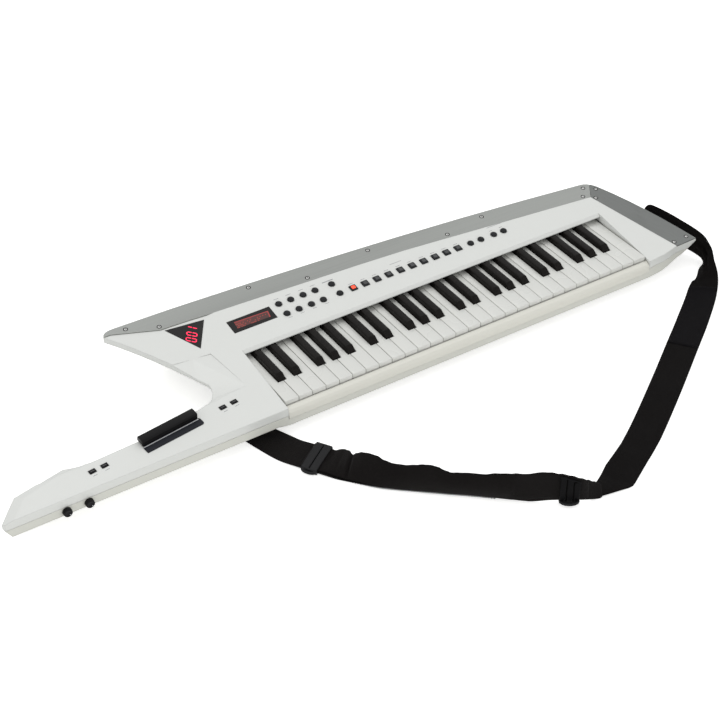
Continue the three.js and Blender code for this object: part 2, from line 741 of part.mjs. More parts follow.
function bottomCover() {
  const shell = toSolid(upright(lowerPoints, -farAway, farAway))
    .intersect(deckSlab(-farAway, -upperDepth - fit)).intersect(undersideMask(0));
  const hollow = lowerInside.intersect(undersideMask(coverWall));
  const hump = humpSolid(0, floorLevel, -bodyUnderside + coverWall / 2);
  const humpHollow = humpSolid(coverWall, humpFloor, -bodyUnderside + 2 * coverWall);
  const slipRoom = toSolid(block(
    -openingSideGap, keyboardWidth + openingSideGap, -farAway, 0, -slipTopDrop - slipHeight - fit, farAway));
  const standoffs = union([
    ...mainBoardCorners.map((place) => toSolid(post(
      place.x, place.y, standoffRadius, humpFloor - coverWall / 2, humpFloor + mainBoardLift - fit, 8))),
    ...framePosts.map((place) => toSolid(post(
      place.x, place.y, standoffRadius, floorUnder(place) - coverWall / 2, frameFloor - fit, 8))),
    ...coverPosts.map((place) => toSolid(post(
      place.x, place.y, coverPostRadius, undersideAt(place) + coverWall / 2,
      undersideAt(place) + coverWall + postSplit - fit, 10))),
  ]);
  const screwWells = union(coverPosts.map((place) => {
    const foot = undersideAt(place);
    const head = foot + coverScrewHeadHeight + fit;
    const shank = toSolid(post(place.x, place.y, screwShankRadius + fit, foot - fit, farAway, 8));
    return shank.add(toSolid(post(place.x, place.y, coverScrewHeadRadius + fit, foot - overrun, head, 10)));
  }));
  const baySides = toSolid(centred(
    bayCentre, bayLength + 2 * bayWall, bayWidth + 2 * bayWall, humpFloor - coverWall / 2, bayCeiling));
  const bayRoom = toSolid(centred(
    bayCentre, bayLength, bayWidth, floorLevel - overrun, bayCeiling + overrun));
  const bayRabbet = toSolid(centred(
    bayCentre, bayLength + 2 * bayLedge, bayWidth + 2 * bayLedge, floorLevel - overrun,
    floorLevel + 2 * fit + batteryCoverThickness));
  const jackHoles = union(Object.values(jackShares).map((share) => {
    const x = share * keyboardWidth;
    const wall = backWallAt(x);
    return toSolid(postAlongY(x, jackLevel, jackCollarRadius + fit, wall - overrun, wall + overrun, 12));
  }));
  const shaftHoles = union(knobPlaces.map((x) => toSolid(postAlongY(
    x, knobLevel, knobShaftRadius + fit, frontLine - overrun, frontLine + overrun, 12))));
  const envelope = shell.add(hump);
  return shell.subtract(hollow).subtract(slipRoom).add(hump).subtract(humpHollow)
    .add(standoffs.intersect(envelope)).add(baySides).subtract(bayRoom).subtract(bayRabbet)
    .subtract(screwWells).subtract(jackHoles).subtract(shaftHoles);
}

// Two knobs on the neck's front face, under the parting line, on the shafts of two pots
const knobCentreShare = 0.7566;
const knobPlaces = [-1, 1].map((side) => -knobCentreShare * neckReach + side * knobSpacing / 2);
const knobLevel = deckLevel(frontLine) - upperDepth - knobDrop;
const potSide = 10;
const potDepth = 7;
const potLift = 0.4;

function knob(x) {
  const edge = knobHeight / 4;
  const profile = [
    at(0, 0), at(knobRadius, 0), at(knobRadius, knobHeight - edge), at(knobRadius - edge / 2, knobHeight),
    at(0, knobHeight),
  ];
  const cap = new THREE.LatheGeometry(profile, 20).rotateX(Math.PI);
  const body = toSolid(cap.translate(x, frontLine - fit, knobLevel));
  const shaftEnd = frontLine - fit + knobShaftLength;
  const shaft = toSolid(postAlongY(x, knobLevel, knobShaftRadius, frontLine - 2 * fit, shaftEnd, 12));
  const mark = toSolid(block(
    x - screwShankRadius / 2, x + screwShankRadius / 2, frontLine - fit - knobHeight - overrun,
    frontLine - knobHeight + potLift, knobLevel + knobRadius / 3, knobLevel + knobRadius));
  return body.add(shaft).subtract(mark);
}

function neckPotBoard() {
  const front = frontLine + knobShaftLength;
  const left = knobPlaces[0] - potSide;
  const right = knobPlaces[1] + potSide;
  const foot = -neckUnderside + coverWall + fit;
  const boardFront = front + potDepth;
  const top = knobLevel + potSide / 2;
  const board = toSolid(block(left, right, boardFront, boardFront + boardThickness, foot, top));
  const pots = knobPlaces.map((x) => toSolid(block(
    x - potSide / 2, x + potSide / 2, front, boardFront + boardThickness / 2, foot + potLift, top)));
  return board.add(union(pots));
}

// The slip in front of the keys: a rounded ledge, section points from its inner top edge outwards and down
const slipFrontGap = 1.5;
const slipShares = [[0, 0], [0.35, 0.04], [0.75, 0.18], [0.95, 0.42], [1, 0.7], [1, 1]];

function keySlip() {
  const top = -slipTopDrop;
  const foot = top - slipHeight;
  const depth = frontOverhang - slipFrontGap;
  const outer = slipShares.map(([y, z]) => at(-slipFrontGap - y * depth, top - z * slipHeight));
  const inner = slipShares.map(([y, z]) => at(-slipFrontGap - y * (depth - coverWall), Math.min(
    top - coverWall - z * (slipHeight - coverWall), top))).reverse();
  inner[0].y = foot;
  outer[outer.length - 1].y = foot;
  const reach = openingSideGap - fit;
  return toSolid(prismAlongX([...outer, ...inner], -reach, keyboardWidth + reach));
}

// Keys: each comb joins its keys at a bar on the hinge line
const octaveNames = ['C', 'D', 'E', 'F', 'G', 'A', 'B'];
const blackKeyCentreShares = { C: 0.91, D: 2.085, F: 3.87, G: 5, A: 6.158 };
const blackNames = Object.keys(blackKeyCentreShares);
const octaveCount = Math.floor(whiteKeyCount / octaveNames.length);
const octaveWidth = octaveNames.length * whiteKeyPitch;
const blackKeyClearance = 0.9;
const blackKeyEdge = 1.6;
const barLevels = { natural: -7, lower: -15, black: 0.8 };

function blackCentre(octave, name) {
  return octave * octaveWidth + blackKeyCentreShares[name] * whiteKeyPitch;
}

function whiteKeyOutline(octave, index) {
  const name = octaveNames[index];
  const start = octave * octaveWidth + index * whiteKeyPitch;
  const left = start + whiteKeyGap / 2;
  const right = start + whiteKeyPitch - whiteKeyGap / 2;
  const isLast = octave === octaveCount;
  const notch = blackKeyWidth / 2 + blackKeyClearance;
  const previous = octaveNames[index - 1];
  const before = blackNames.includes(previous) ? blackCentre(octave, previous) + notch : left;
  const after = blackNames.includes(name) && !isLast ? blackCentre(octave, name) - notch : right;
  return [
    at(left, 0), at(right, 0), at(right, whiteKeyHeadLength), at(after, whiteKeyHeadLength),
    at(after, whiteKeyLength), at(before, whiteKeyLength),
    at(before, whiteKeyHeadLength), at(left, whiteKeyHeadLength),
  ].filter((point, i, all) => i === 0 || point.distanceTo(all[i - 1]) > fit);
}

function keyArm(x, low) {
  const half = keyArmWidth / 2;
  const start = whiteKeyLength - keyArmWidth;
  return toSolid(block(x - half, x + half, start, keyHingeSetback, low, low + keyBarHeight));
}

function keyBar(x0, x1, low) {
  const half = keyBarDepth / 2;
  return toSolid(block(x0, x1, keyHingeSetback - half, keyHingeSetback + half, low, low + keyBarHeight));
}

function whiteComb(octave, indexes, low) {
  const keys = [];
  const middles = [];
  for (const index of indexes) {
    const outline = whiteKeyOutline(octave, index);
    keys.push(toSolid(upright(outline, -whiteKeyHeight, 0)));
    const rear = outline.filter((point) => point.y > whiteKeyHeadLength + fit).map((point) => point.x);
    middles.push((Math.min(...rear) + Math.max(...rear)) / 2);
  }
  const arms = middles.map((x) => keyArm(x, low));
  const reach = keyArmWidth / 2;
  return union([...keys, ...arms, keyBar(middles[0] - reach, middles[middles.length - 1] + reach, low)]);
}

function blackComb(octave) {
  const centres = blackNames.map((name) => blackCentre(octave, name));
  const keys = centres.map((x) => {
    const half = blackKeyWidth / 2;
    const topHalf = blackKeyTopWidth / 2;
    const foot = [
      at(x - half, blackKeyFront), at(x + half, blackKeyFront),
      at(x + half, whiteKeyLength), at(x - half, whiteKeyLength),
    ];
    const crown = [
      at(x - topHalf, blackKeyFront + blackKeySlope), at(x + topHalf, blackKeyFront + blackKeySlope),
      at(x + topHalf, whiteKeyLength - blackKeySlope), at(x - topHalf, whiteKeyLength - blackKeySlope),
    ];
    const bevel = blackKeyEdge;
    const brow = crown.map((point, i) => at(
      point.x + (i % 3 === 0 ? -bevel : bevel), point.y + (i < 2 ? -bevel : bevel)));
    return toSolid(ringSolid([
      foot.map((point) => at3(point.x, point.y, -blackKeyDepth)),
      foot.map((point) => at3(point.x, point.y, blackKeyEdge / 2)),
      brow.map((point) => at3(point.x, point.y, blackKeyRise - blackKeyEdge)),
      crown.map((point) => at3(point.x, point.y, blackKeyRise)),
    ]));
  });
  const low = barLevels.black;
  const reach = keyArmWidth / 2;
  const last = centres[centres.length - 1];
  const bar = keyBar(centres[0] - reach, last + reach, low);
  return union([...keys, ...centres.map((x) => keyArm(x, low)), bar]);
}

function keyFrame() {
  const left = keyArmWidth / 2;
  const right = keyboardWidth - keyArmWidth / 2;
  const plateTopLevel = frameFloor + frameThickness;
  const plate = toSolid(block(left, right, frameFront, frameBack, frameFloor, plateTopLevel));
  const railTop = barLevels.black + keyBarHeight;
  const railFoot = frameFloor + frameThickness / 2;
  const rail = toSolid(block(left, right, railFront, railFront + railThickness, railFoot, railTop));
  const postHoles = union(coverPosts.map((place) => toSolid(post(
    place.x, place.y, coverPostRadius + 3 * fit, frameFloor - overrun, frameFloor + overrun, 10))));
  return plate.add(rail).subtract(postHoles);
}

// Webbing strap: a ribbon along stations, laid on the floor, rolled on its edge, and up to the end pin
const endCurve = new THREE.QuadraticBezierCurve(
  onEnd(endShares.tip), onEnd(endShares.bend), onEnd(endShares.shoulder));
const endPinShare = 0.5;
const endPinLevel = -12;
const endPinFoot = endCurve.getPoint(endPinShare);
const endTangent = endCurve.getTangent(endPinShare);
const endPinAxis = at(endTangent.y, -endTangent.x);
const strapOnPin = endPinStandoff + endPinGroove / 2;
const neckPinPlaceShares = [-0.073, 0.33];
const neckPinPlace = alongKeys(neckPinPlaceShares);
const neckPinTop = -neckUnderside;
const neckStrapLift = 8;

// Stations of the strap's right-hand edge: x and y as shares of the keyboard's width, lift above the floor,
// roll in degrees from flat to upright, width share, and layers of webbing
const strapShares = [
  [-0.098, 0.016, 0, 0, 1, 1], [-0.088, -0.019, 0, 0, 1, 1],
  [-0.069, -0.079, 0, 0, 1, 1], [-0.043, -0.13, 0.04, 0, 1, 2], [-0.016, -0.173, 0.04, 0, 1, 2],
  [0.009, -0.207, 0, 25, 1, 2], [0.034, -0.236, 0, 48, 1, 2], [0.067, -0.272, 0, 66, 1, 2],
  [0.117, -0.315, 0, 82, 1, 2], [0.164, -0.355, 0, 88, 1, 2], [0.227, -0.408, 0, 90, 1, 2],
  [0.266, -0.443, 0, 90, 1, 2], [0.303, -0.477, 0, 90, 1, 2], [0.34, -0.505, 0.09, 90, 1, 2],
  [0.393, -0.537, 0.09, 90, 1, 2], [0.433, -0.549, 0, 72, 1, 1.5], [0.472, -0.559, 0, 42, 1, 1],
  [0.514, -0.555, 0, 10, 1, 1], [0.58, -0.522, 0, 0, 1, 1], [0.656, -0.475, 0, 0, 1, 1],
  [0.8, -0.375, 0, 0, 1, 1], [0.936, -0.276, 0, 0, 1, 1], [1.026, -0.21, 0, 0, 1, 1],
  [1.118, -0.135, 0, 0, 0.95, 1], [1.153, -0.097, 0.06, -14, 0.85, 1], [1.17, -0.062, 0.3, -42, 0.7, 1],
  [1.188, -0.026, 0.62, -72, 0.72, 1], [1.186, -0.003, 0.92, -86, 0.85, 1],
];
const strapStepCount = 3;
const strapEndShares = [[-1.1, 0.13], [-0.4, 0.02], [0, 0], [0.36, 0]];
// From the neck pin: distance along as a share of the width, and share of the drop to the floor
const strapStartShares = [[-0.737, 0.97], [-0.1, 0], [0.36, 0]];

function strapStations() {
  const stations = strapShares.map(([x, y, lift, roll, width, layers]) => {
    const thickness = strapThickness * layers;
    const angle = THREE.MathUtils.degToRad(roll);
    const z = floorLevel + lift * strapWidth + thickness / 2 * Math.cos(angle);
    const shape = at3(angle, width * strapWidth, thickness);
    return { edge: at3(x * keyboardWidth, y * keyboardWidth, z), shape };
  });
  for (const [along, drop] of strapEndShares) {
    const place = endPinFoot.clone().addScaledVector(endPinAxis, strapOnPin)
      .addScaledVector(endTangent, along * strapWidth);
    const edge = at3(place.x, place.y, endPinLevel + strapWidth / 2 - drop * strapWidth);
    stations.push({ edge, shape: at3(-Math.PI / 2, strapWidth, strapThickness) });
  }
  for (const [along, drop] of strapStartShares) {
    const y = neckPinPlace.y + along * strapWidth;
    const z = THREE.MathUtils.lerp(neckPinTop - neckStrapLift, floorLevel + strapThickness / 2, drop);
    const edge = at3(neckPinPlace.x - strapWidth / 2, y, z);
    stations.unshift({ edge, shape: at3(0, strapWidth, strapThickness) });
  }
  return stations;
}

const stations = strapStations();
const strapEdge = new THREE.CatmullRomCurve3(stations.map((station) => station.edge));

function strapShapeAt(share) {
  const reach = share * (stations.length - 1);
  const i = Math.min(Math.floor(reach), stations.length - 2);
  return stations[i].shape.clone().lerp(stations[i + 1].shape, reach - i).toArray();
}

// Frame of the ribbon at a place from 0 to 1: its right edge, direction across it, face normal and sizes
function strapFrame(share) {
  const edge = strapEdge.getPoint(share);
  const [roll, width, thickness] = strapShapeAt(share);
  const tangent = strapEdge.getTangent(share);
  const leftward = at3(-tangent.y, tangent.x, 0).normalize();
  const across = leftward.multiplyScalar(Math.cos(roll)).add(at3(0, 0, Math.sin(roll)));
  const normal = tangent.clone().cross(across).normalize();
  const lowest = floorLevel + Math.abs(normal.z) * thickness / 2;
  edge.z = Math.max(edge.z, lowest, lowest - across.z * width);
  return { edge, across, normal, width, thickness, tangent };
}

function strapWebbing() {
  const steps = (stations.length - 1) * strapStepCount;
  const rings = [];
  for (let i = 0; i <= steps; i += 1) {
    const { edge, across, normal, width, thickness } = strapFrame(i / steps);
    const corner = (side, face) => edge.clone()
      .addScaledVector(across, side * width).addScaledVector(normal, face * thickness / 2);
    rings.push([corner(0, -1), corner(1, -1), corner(1, 1), corner(0, 1)]);
  }
  const index = [0, 2, 1, 0, 3, 2];
  for (let i = 0; i < steps; i += 1) {
    for (let j = 0; j < 4; j += 1) {
      const next = (j + 1) % 4;
      const near = i * 4;
      const far = near + 4;
      index.push(near + j, near + next, far + next, near + j, far + next, far + j);
    }
  }
  const last = steps * 4;
  index.push(last, last + 1, last + 2, last, last + 2, last + 3);
  const geometry = new THREE.BufferGeometry().setFromPoints(rings.flat());
  geometry.setIndex(index);
  const bore = pinNeckRadius + fit;
  const neckHole = toSolid(post(
    neckPinPlace.x, neckPinPlace.y, bore, neckPinTop - overrun, neckPinTop, 12));
  const endHole = toSolid(post(0, 0, bore, endPinStandoff, endPinStandoff + endPinGroove, 12)
    .applyMatrix4(endPinPlacement()));
  return toSolid(geometry).subtract(endHole).subtract(neckHole);
}

// Sliders: a flat frame round the webbing, with two slots in its upper face
const sliderStations = { strap_slider_near: 3.5, strap_slider_far: 13.5 };
const sliderSlot = 4;

function slider(station) {
  const share = (station + strapStartShares.length) / (stations.length - 1);
  const { edge, across, normal, width, thickness } = strapFrame(share);
  const centre = edge.clone().addScaledVector(across, width / 2);
  const along = across.clone().cross(normal).normalize();
  const placement = new THREE.Matrix4().makeBasis(along, across, normal).setPosition(centre);
  const half = sliderLength / 2;
  const room = width / 2 + sliderClearance;
  const side = room + sliderRim;
  const inner = thickness / 2 + sliderClearance;
  const skin = inner + coverWall / 2;
  const body = toSolid(block(-half, half, -side, side, -skin, skin).applyMatrix4(placement));
  const passage = toSolid(block(-overrun, overrun, -room, room, -inner, inner).applyMatrix4(placement));
  const slots = union([-1, 1].map((way) => toSolid(block(
    way * half / 2 - sliderSlot / 2, way * half / 2 + sliderSlot / 2, -room, room, inner / 2, overrun)
    .applyMatrix4(placement))));
  return body.subtract(passage).subtract(slots);
}

// Strap pins: a cone, a groove for the webbing and a round head
function pinProfile(standoff, groove) {
  const total = standoff + groove + pinHeadThickness;
  return [
    at(0, 0), at(pinBaseRadius, 0), at(pinHeadRadius, standoff), at(pinNeckRadius, standoff),
    at(pinNeckRadius, standoff + groove), at(pinHeadRadius, standoff + groove),
    at(pinHeadRadius, total), at(0, total),
  ];
}

function endPinPlacement() {
  const axis = at3(endPinAxis.x, endPinAxis.y, 0);
  const side = at3(-endPinAxis.y, endPinAxis.x, 0);
  const foot = at3(endPinFoot.x, endPinFoot.y, endPinLevel).addScaledVector(axis, 2 * fit);
  return new THREE.Matrix4().makeBasis(side, at3(0, 0, 1), axis).setPosition(foot);
}

function endPin() {
  const turned = new THREE.LatheGeometry(pinProfile(endPinStandoff, endPinGroove), 20).rotateX(Math.PI / 2);
  return turned.applyMatrix4(endPinPlacement());
}

function neckPin() {
  const profile = [
    at(0, 0), at(pinNeckRadius, 0), at(pinNeckRadius, neckPinGroove), at(pinHeadRadius, neckPinGroove),
    at(pinHeadRadius, neckPinGroove + pinHeadThickness), at(0, neckPinGroove + pinHeadThickness),
  ];
  const turned = new THREE.LatheGeometry(profile, 16).rotateX(-Math.PI / 2);
  return turned.translate(neckPinPlace.x, neckPinPlace.y, neckPinTop - fit);
}

// Small pieces
const batterySideCount = 12;
const contact = 0.05;
const bayFloor = floorLevel + 2 * fit + batteryCoverThickness;

function batteries() {
  const rowPitch = 2 * batteryRadius * Math.cos(Math.PI / batterySideCount) - contact;
  const cells = [];
  for (let row = 0; row < batteryRows; row += 1) {
    for (let column = 0; column < batteryColumns; column += 1) {
      const y = bayCentre.y + (row - (batteryRows - 1) / 2) * rowPitch;
      const x = bayCentre.x + (column - (batteryColumns - 1) / 2) * (batteryLength - contact);
      const cell = new THREE.CylinderGeometry(batteryRadius, batteryRadius, batteryLength, batterySideCount);
      cells.push(toSolid(cell.rotateZ(Math.PI / 2).translate(x, y, bayFloor + batteryRadius)));
    }
  }
  return union(cells);
}

function batteryCover() {
  const spread = 2 * bayLedge - 2 * fit;
  return centred(bayCentre, bayLength + spread, bayWidth + spread, floorLevel + fit,
    floorLevel + fit + batteryCoverThickness);
}

const mainBoardChipShares = [[-0.2, 0.1, 0.3], [0.1, -0.12, 0.24], [0.3, 0.2, 0.16]];

function mainBoard() {
  const low = humpFloor + mainBoardLift;
  const board = toSolid(centred(mainBoardCentre, mainBoardLength, mainBoardWidth, low, low + boardThickness));
  const chips = mainBoardChipShares.map(([x, y, size]) => toSolid(centred(
    at(mainBoardCentre.x + x * mainBoardLength, mainBoardCentre.y + y * mainBoardWidth),
    size * mainBoardWidth, size * mainBoardWidth, low + boardThickness / 2, low + 2 * boardThickness)));
  return board.add(union(chips));
}

const boardBottom = boardTop - boardThickness;
const panelBoardShares = { left: 0.13, right: 0.775, front: 0.6162, back: 0.7712 };
const neckBoardMargin = 4;

function panelBoard() {
  const low = onPanel([panelBoardShares.left, panelBoardShares.front]);
  const high = onPanel([panelBoardShares.right, panelBoardShares.back]);
  return block(low.x, high.x, low.y, high.y, boardBottom, boardTop);
}

function neckSwitchBoard(a, b) {
  const bosses = [a, b].map((i) => onNeckDeck(neckBossShares[i]).x);
  const left = Math.min(neckPlaces[a].x, ...bosses) - neckBoardMargin;
  const right = Math.max(neckPlaces[b].x, ...bosses) + neckBoardMargin;
  const middle = (neckPlaces[a].y + neckPlaces[b].y) / 2;
  const half = neckButtonLength / 2 + neckBoardMargin / 2;
  return block(left, right, middle - half, middle + half, boardBottom, boardTop);
}

function moduleUnder(corners, surface, inset) {
  const top = surface - fit;
  return upright(drawnIn(corners, inset), top - moduleHeight, top);
}

function jack(share) {
  const x = share * keyboardWidth;
  const wall = backWallAt(x);
  const collarBack = wall - jackCollarLength;
  const collar = toSolid(postAlongY(x, jackLevel, jackCollarRadius, collarBack - fit, wall + fit, 12));
  const half = jackBody / 2;
  const front = wall - jackDepth;
  const body = toSolid(block(x - half, x + half, front, collarBack, jackLevel - half, jackLevel + half));
  const bore = toSolid(postAlongY(x, jackLevel, jackBoreRadius, front + coverWall, wall + overrun, 12));
  return body.add(collar).subtract(bore);
}

// Modulation bar: a rounded prism on a hinge along its front foot, overhanging the neck's back edge
const barFoot = 0.35;
const barHingeDepth = 1.8;
const barHingeHeight = 1.6;
const barGap = 0.5;
const barSectionShares = [
  [0, 0], [0.18, 0], [0.18, 0.19], [0.97, 0.19], [1, 0.3], [1, 0.82],
  [0.94, 0.95], [0.84, 1], [0.2, 1], [0.08, 0.95], [0, 0.78],
];

function modulationBar() {
  const section = barSectionShares.map(([t, w]) => at(
    t * modBarWidth - barHingeDepth + barGap, w * (modBarRise - barFoot) + barFoot - barHingeHeight));
  return prismAlongX(section, 0, modBarLength);
}

// Assembly: the instrument group has its zero at the key tops, the deck group lies in the tilted plane
const keytar = new THREE.Group();
const instrument = new THREE.Group();
instrument.position.set(-(restLeft + restRight) / 2, -(restFront + restBack) / 2, keyTopHeight);
keytar.add(instrument);
const deck = new THREE.Group();
deck.position.set(0, deckFront, 0);
deck.rotation.x = deckTilt;
instrument.add(deck);
const barGroup = new THREE.Group();
barGroup.position.set(barPlace.x, barPlace.y, 0);
barGroup.rotation.z = barTurn;
deck.add(barGroup);

function place(parent, name, shape, look) {
  const geometry = shape.isBufferGeometry ? shape : toGeometry(shape);
  const mesh = new THREE.Mesh(geometry, look);
  mesh.name = name;
  parent.add(mesh);
  return mesh;
}

function addCovers() {
  place(instrument, 'top_cover', topCover(), looks.coverWhite);
  place(instrument, 'bottom_cover', bottomCover(), looks.warmWhite);
  place(instrument, 'key_slip', keySlip(), looks.warmWhite);
  place(instrument, 'battery_cover', batteryCover(), looks.warmWhite);
}

function addPlates() {
  const backPlate = plateStock.subtract(endPlateZone(-plateJoint / 2));
  const endPlate = plateStock.intersect(endPlateZone(plateJoint / 2));
  place(instrument, 'back_edge_plate', backPlate, looks.brushedPlate);
  place(instrument, 'end_edge_plate', endPlate, looks.darkPlate);
}

function addDisplays() {
  place(deck, 'display_window', windowPane(displayCorners, 0), looks.smokedWindow);
  place(deck, 'display_module', moduleUnder(displayCorners, -coverWall, windowLedge / 2), looks.displayRed);
  place(deck, 'triangle_window', windowPane(triangleCorners, -hornDrop), looks.smokedWindow);
  const ceiling = hornDrop + windowRecess + windowThickness + fit + coverWall / 2;
  place(deck, 'digit_display', moduleUnder(triangleCorners, -ceiling, windowLedge / 2), looks.displayRed);
}

const carrierReachShare = 0.7;

function addButtons() {
  for (const [name, shares] of Object.entries(roundGroupShares)) {
    const places = shares.map(onPanel);
    const caps = places.map((spot) => toSolid(post(
      spot.x, spot.y, roundButtonRadius, -buttonStem - carrierThickness / 2, buttonRise, 16)));
    const xs = places.map((spot) => spot.x);
    const ys = places.map((spot) => spot.y);
    const reach = roundButtonRadius * carrierReachShare;
    const carrier = toSolid(block(
      Math.min(...xs) - reach, Math.max(...xs) + reach, Math.min(...ys) - reach, Math.max(...ys) + reach,
      buttonFoot, -buttonStem));
    place(deck, name, union([...caps, carrier]), looks.buttonGrey);
  }
  squarePlaces.forEach((spot, i) => {
    const cap = squarePrism(spot, squareButtonSide, squareButtonSide, 0, buttonFoot, buttonRise);
    place(deck, `square_button_${i + 1}`, cap, looks.buttonGrey);
  });
  neckPlaces.forEach((spot, i) => {
    const cap = squarePrism(
      spot, neckButtonLength, neckButtonWidth, neckButtonTurn, buttonFoot, buttonRise / 2);
    place(deck, `neck_button_${i + 1}`, cap, looks.buttonGrey);
  });
}

function addNeckControls() {
  const ribbonBack = -trimWidth - 2 * fit;
  const ribbonBase = fit - ribbonPocket;
  const strip = block(0, ribbonLength, ribbonBack - ribbonWidth, ribbonBack, ribbonBase, ribbonRise);
  const trim = block(0, ribbonLength, -trimWidth - fit, -fit, ribbonBase, ribbonRise + fit);
  place(barGroup, 'ribbon_strip', strip, looks.touchBlack);
  place(barGroup, 'ribbon_trim', trim, looks.trimSilver);
  const bar = place(barGroup, 'modulation_bar', modulationBar(), looks.touchBlack);
  bar.position.set(0, barHingeDepth, barHingeHeight);
  place(instrument, 'knob_left', knob(knobPlaces[0]), looks.touchBlack);
  place(instrument, 'knob_right', knob(knobPlaces[1]), looks.touchBlack);
}

function addKeys() {
  for (let octave = 0; octave < octaveCount; octave += 1) {
    const number = octave + 1;
    const outerKeys = whiteComb(octave, [0, 2, 4, 6], barLevels.natural);
    const innerKeys = whiteComb(octave, [1, 3, 5], barLevels.lower);
    place(instrument, `white_keys_ceg_b_${number}`, outerKeys, looks.keyWhite);
    place(instrument, `white_keys_dfa_${number}`, innerKeys, looks.keyWhite);
    place(instrument, `black_keys_${number}`, blackComb(octave), looks.keyBlack);
  }
  place(instrument, 'white_key_top_c', whiteComb(octaveCount, [0], barLevels.natural), looks.keyWhite);
}

function addInside() {
  place(instrument, 'key_frame', keyFrame(), looks.frameSteel);
  place(instrument, 'main_board', mainBoard(), looks.boardGreen);
  place(deck, 'panel_board', panelBoard(), looks.boardGreen);
  place(instrument, 'neck_pot_board', neckPotBoard(), looks.boardGreen);
  place(deck, 'neck_switch_board_head', neckSwitchBoard(0, 1), looks.boardGreen);
  place(deck, 'neck_switch_board_root', neckSwitchBoard(2, 3), looks.boardGreen);
  place(instrument, 'batteries', batteries(), looks.batterySleeve);
  for (const [name, share] of Object.entries(jackShares)) {
    place(instrument, name, jack(share), looks.touchBlack);
  }
}

function addStrap() {
  place(instrument, 'strap_pin_end', endPin(), looks.warmWhite);
  place(instrument, 'strap_pin_neck', neckPin(), looks.frameSteel);
  place(instrument, 'strap_webbing', strapWebbing(), looks.webbing);
  for (const [name, station] of Object.entries(sliderStations)) {
    place(instrument, name, slider(station), looks.sliderPlastic);
  }
}

addCovers();
addPlates();
addDisplays();
addButtons();
addNeckControls();
addKeys();
addInside();
addStrap();

export default keytar;
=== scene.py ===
import json
import math

import bmesh
import bpy
import numpy as np
from mathutils import Matrix, Vector

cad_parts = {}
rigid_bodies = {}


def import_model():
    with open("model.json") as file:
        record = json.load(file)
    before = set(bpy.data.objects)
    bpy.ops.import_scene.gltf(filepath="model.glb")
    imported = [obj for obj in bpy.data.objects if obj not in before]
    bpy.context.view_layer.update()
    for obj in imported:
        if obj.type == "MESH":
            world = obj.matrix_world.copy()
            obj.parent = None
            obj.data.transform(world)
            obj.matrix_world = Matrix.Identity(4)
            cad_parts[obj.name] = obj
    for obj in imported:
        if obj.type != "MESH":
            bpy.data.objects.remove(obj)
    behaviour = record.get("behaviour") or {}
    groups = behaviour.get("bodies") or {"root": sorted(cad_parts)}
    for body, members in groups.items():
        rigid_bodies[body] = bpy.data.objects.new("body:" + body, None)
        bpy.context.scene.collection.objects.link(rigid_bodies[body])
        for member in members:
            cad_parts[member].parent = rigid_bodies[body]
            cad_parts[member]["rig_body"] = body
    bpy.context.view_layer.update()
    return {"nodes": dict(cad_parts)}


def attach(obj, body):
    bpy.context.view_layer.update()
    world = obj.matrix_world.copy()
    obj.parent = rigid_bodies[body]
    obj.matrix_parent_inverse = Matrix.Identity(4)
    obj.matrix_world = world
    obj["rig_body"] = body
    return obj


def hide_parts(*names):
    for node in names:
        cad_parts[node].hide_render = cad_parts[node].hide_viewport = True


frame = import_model()
nodes = frame["nodes"]
rng = np.random.default_rng(7)
print("frame loaded:", len(nodes), "nodes")

milli = 0.001
nearZero = 0.001  # mm, the radius that closes a turned shape on its axis

# Places: key points are (x, y, z) in mm from the first key's front left top corner,
# panel points are (x, distance up the slope, height above it)
panel = {"tilt": 8.0, "front": 22.0, "origin": (-310.0, -120.0, 53.0)}
tiltCos = math.cos(math.radians(panel["tilt"]))
tiltSin = math.sin(math.radians(panel["tilt"]))


# Key points in mm, moved to the object's origin and turned to metres
def fromKeys(points):
    return (np.asarray(points, float) + panel["origin"]) * milli


# Panel points turned by the tilt about X: y = front + up cos - above sin, z = up sin + above cos
def onPanel(x, up, above=0.0):
    x, up, above = np.broadcast_arrays(np.asarray(x, float), up, above)
    y = panel["front"] + up * tiltCos - above * tiltSin
    z = up * tiltSin + above * tiltCos
    return fromKeys(np.stack([x, y, z], -1))


def placeObject(name, data):
    placed = bpy.data.objects.new(name, data)
    bpy.context.scene.collection.objects.link(placed)
    return placed


# Camera at the photograph's angle, in degrees, mm of lens and metres
camera = {"lens": 87.25, "sensor": 36.0, "farthest": 50.0, "azimuth": -31.83, "elevation": 38.09,
          "roll": 0.88, "distance": 2.64189, "target": (-0.164995, -0.096439, 0.053)}


# The eye stands at target + distance (sin a cos e, -cos a cos e, sin e), rolled about that line
def makeCamera():
    azimuth, elevation, roll = (math.radians(camera[k]) for k in ("azimuth", "elevation", "roll"))
    back = Vector((math.sin(azimuth) * math.cos(elevation), -math.cos(azimuth) * math.cos(elevation),
                   math.sin(elevation)))
    right = (-back).cross(Vector((0, 0, 1))).normalized()
    down = (-back).cross(right)
    turnedRight = right * math.cos(roll) + down * math.sin(roll)
    turnedDown = down * math.cos(roll) - right * math.sin(roll)
    data = bpy.data.cameras.new("photoCamera")
    data.lens = camera["lens"]
    data.sensor_width = camera["sensor"]
    data.clip_end = camera["farthest"]
    eye = placeObject("photoCamera", data)
    turn = Matrix((turnedRight, -turnedDown, back)).transposed()
    place = Vector(camera["target"]) + back * camera["distance"]
    eye.matrix_world = Matrix.Translation(place) @ turn.to_4x4()
    bpy.context.scene.camera = eye


# Shader nodes: a socket takes a link from another node, or a constant
def feed(tree, socket, value):
    if isinstance(value, bpy.types.NodeSocket):
        tree.links.new(value, socket)
    else:
        socket.default_value = value


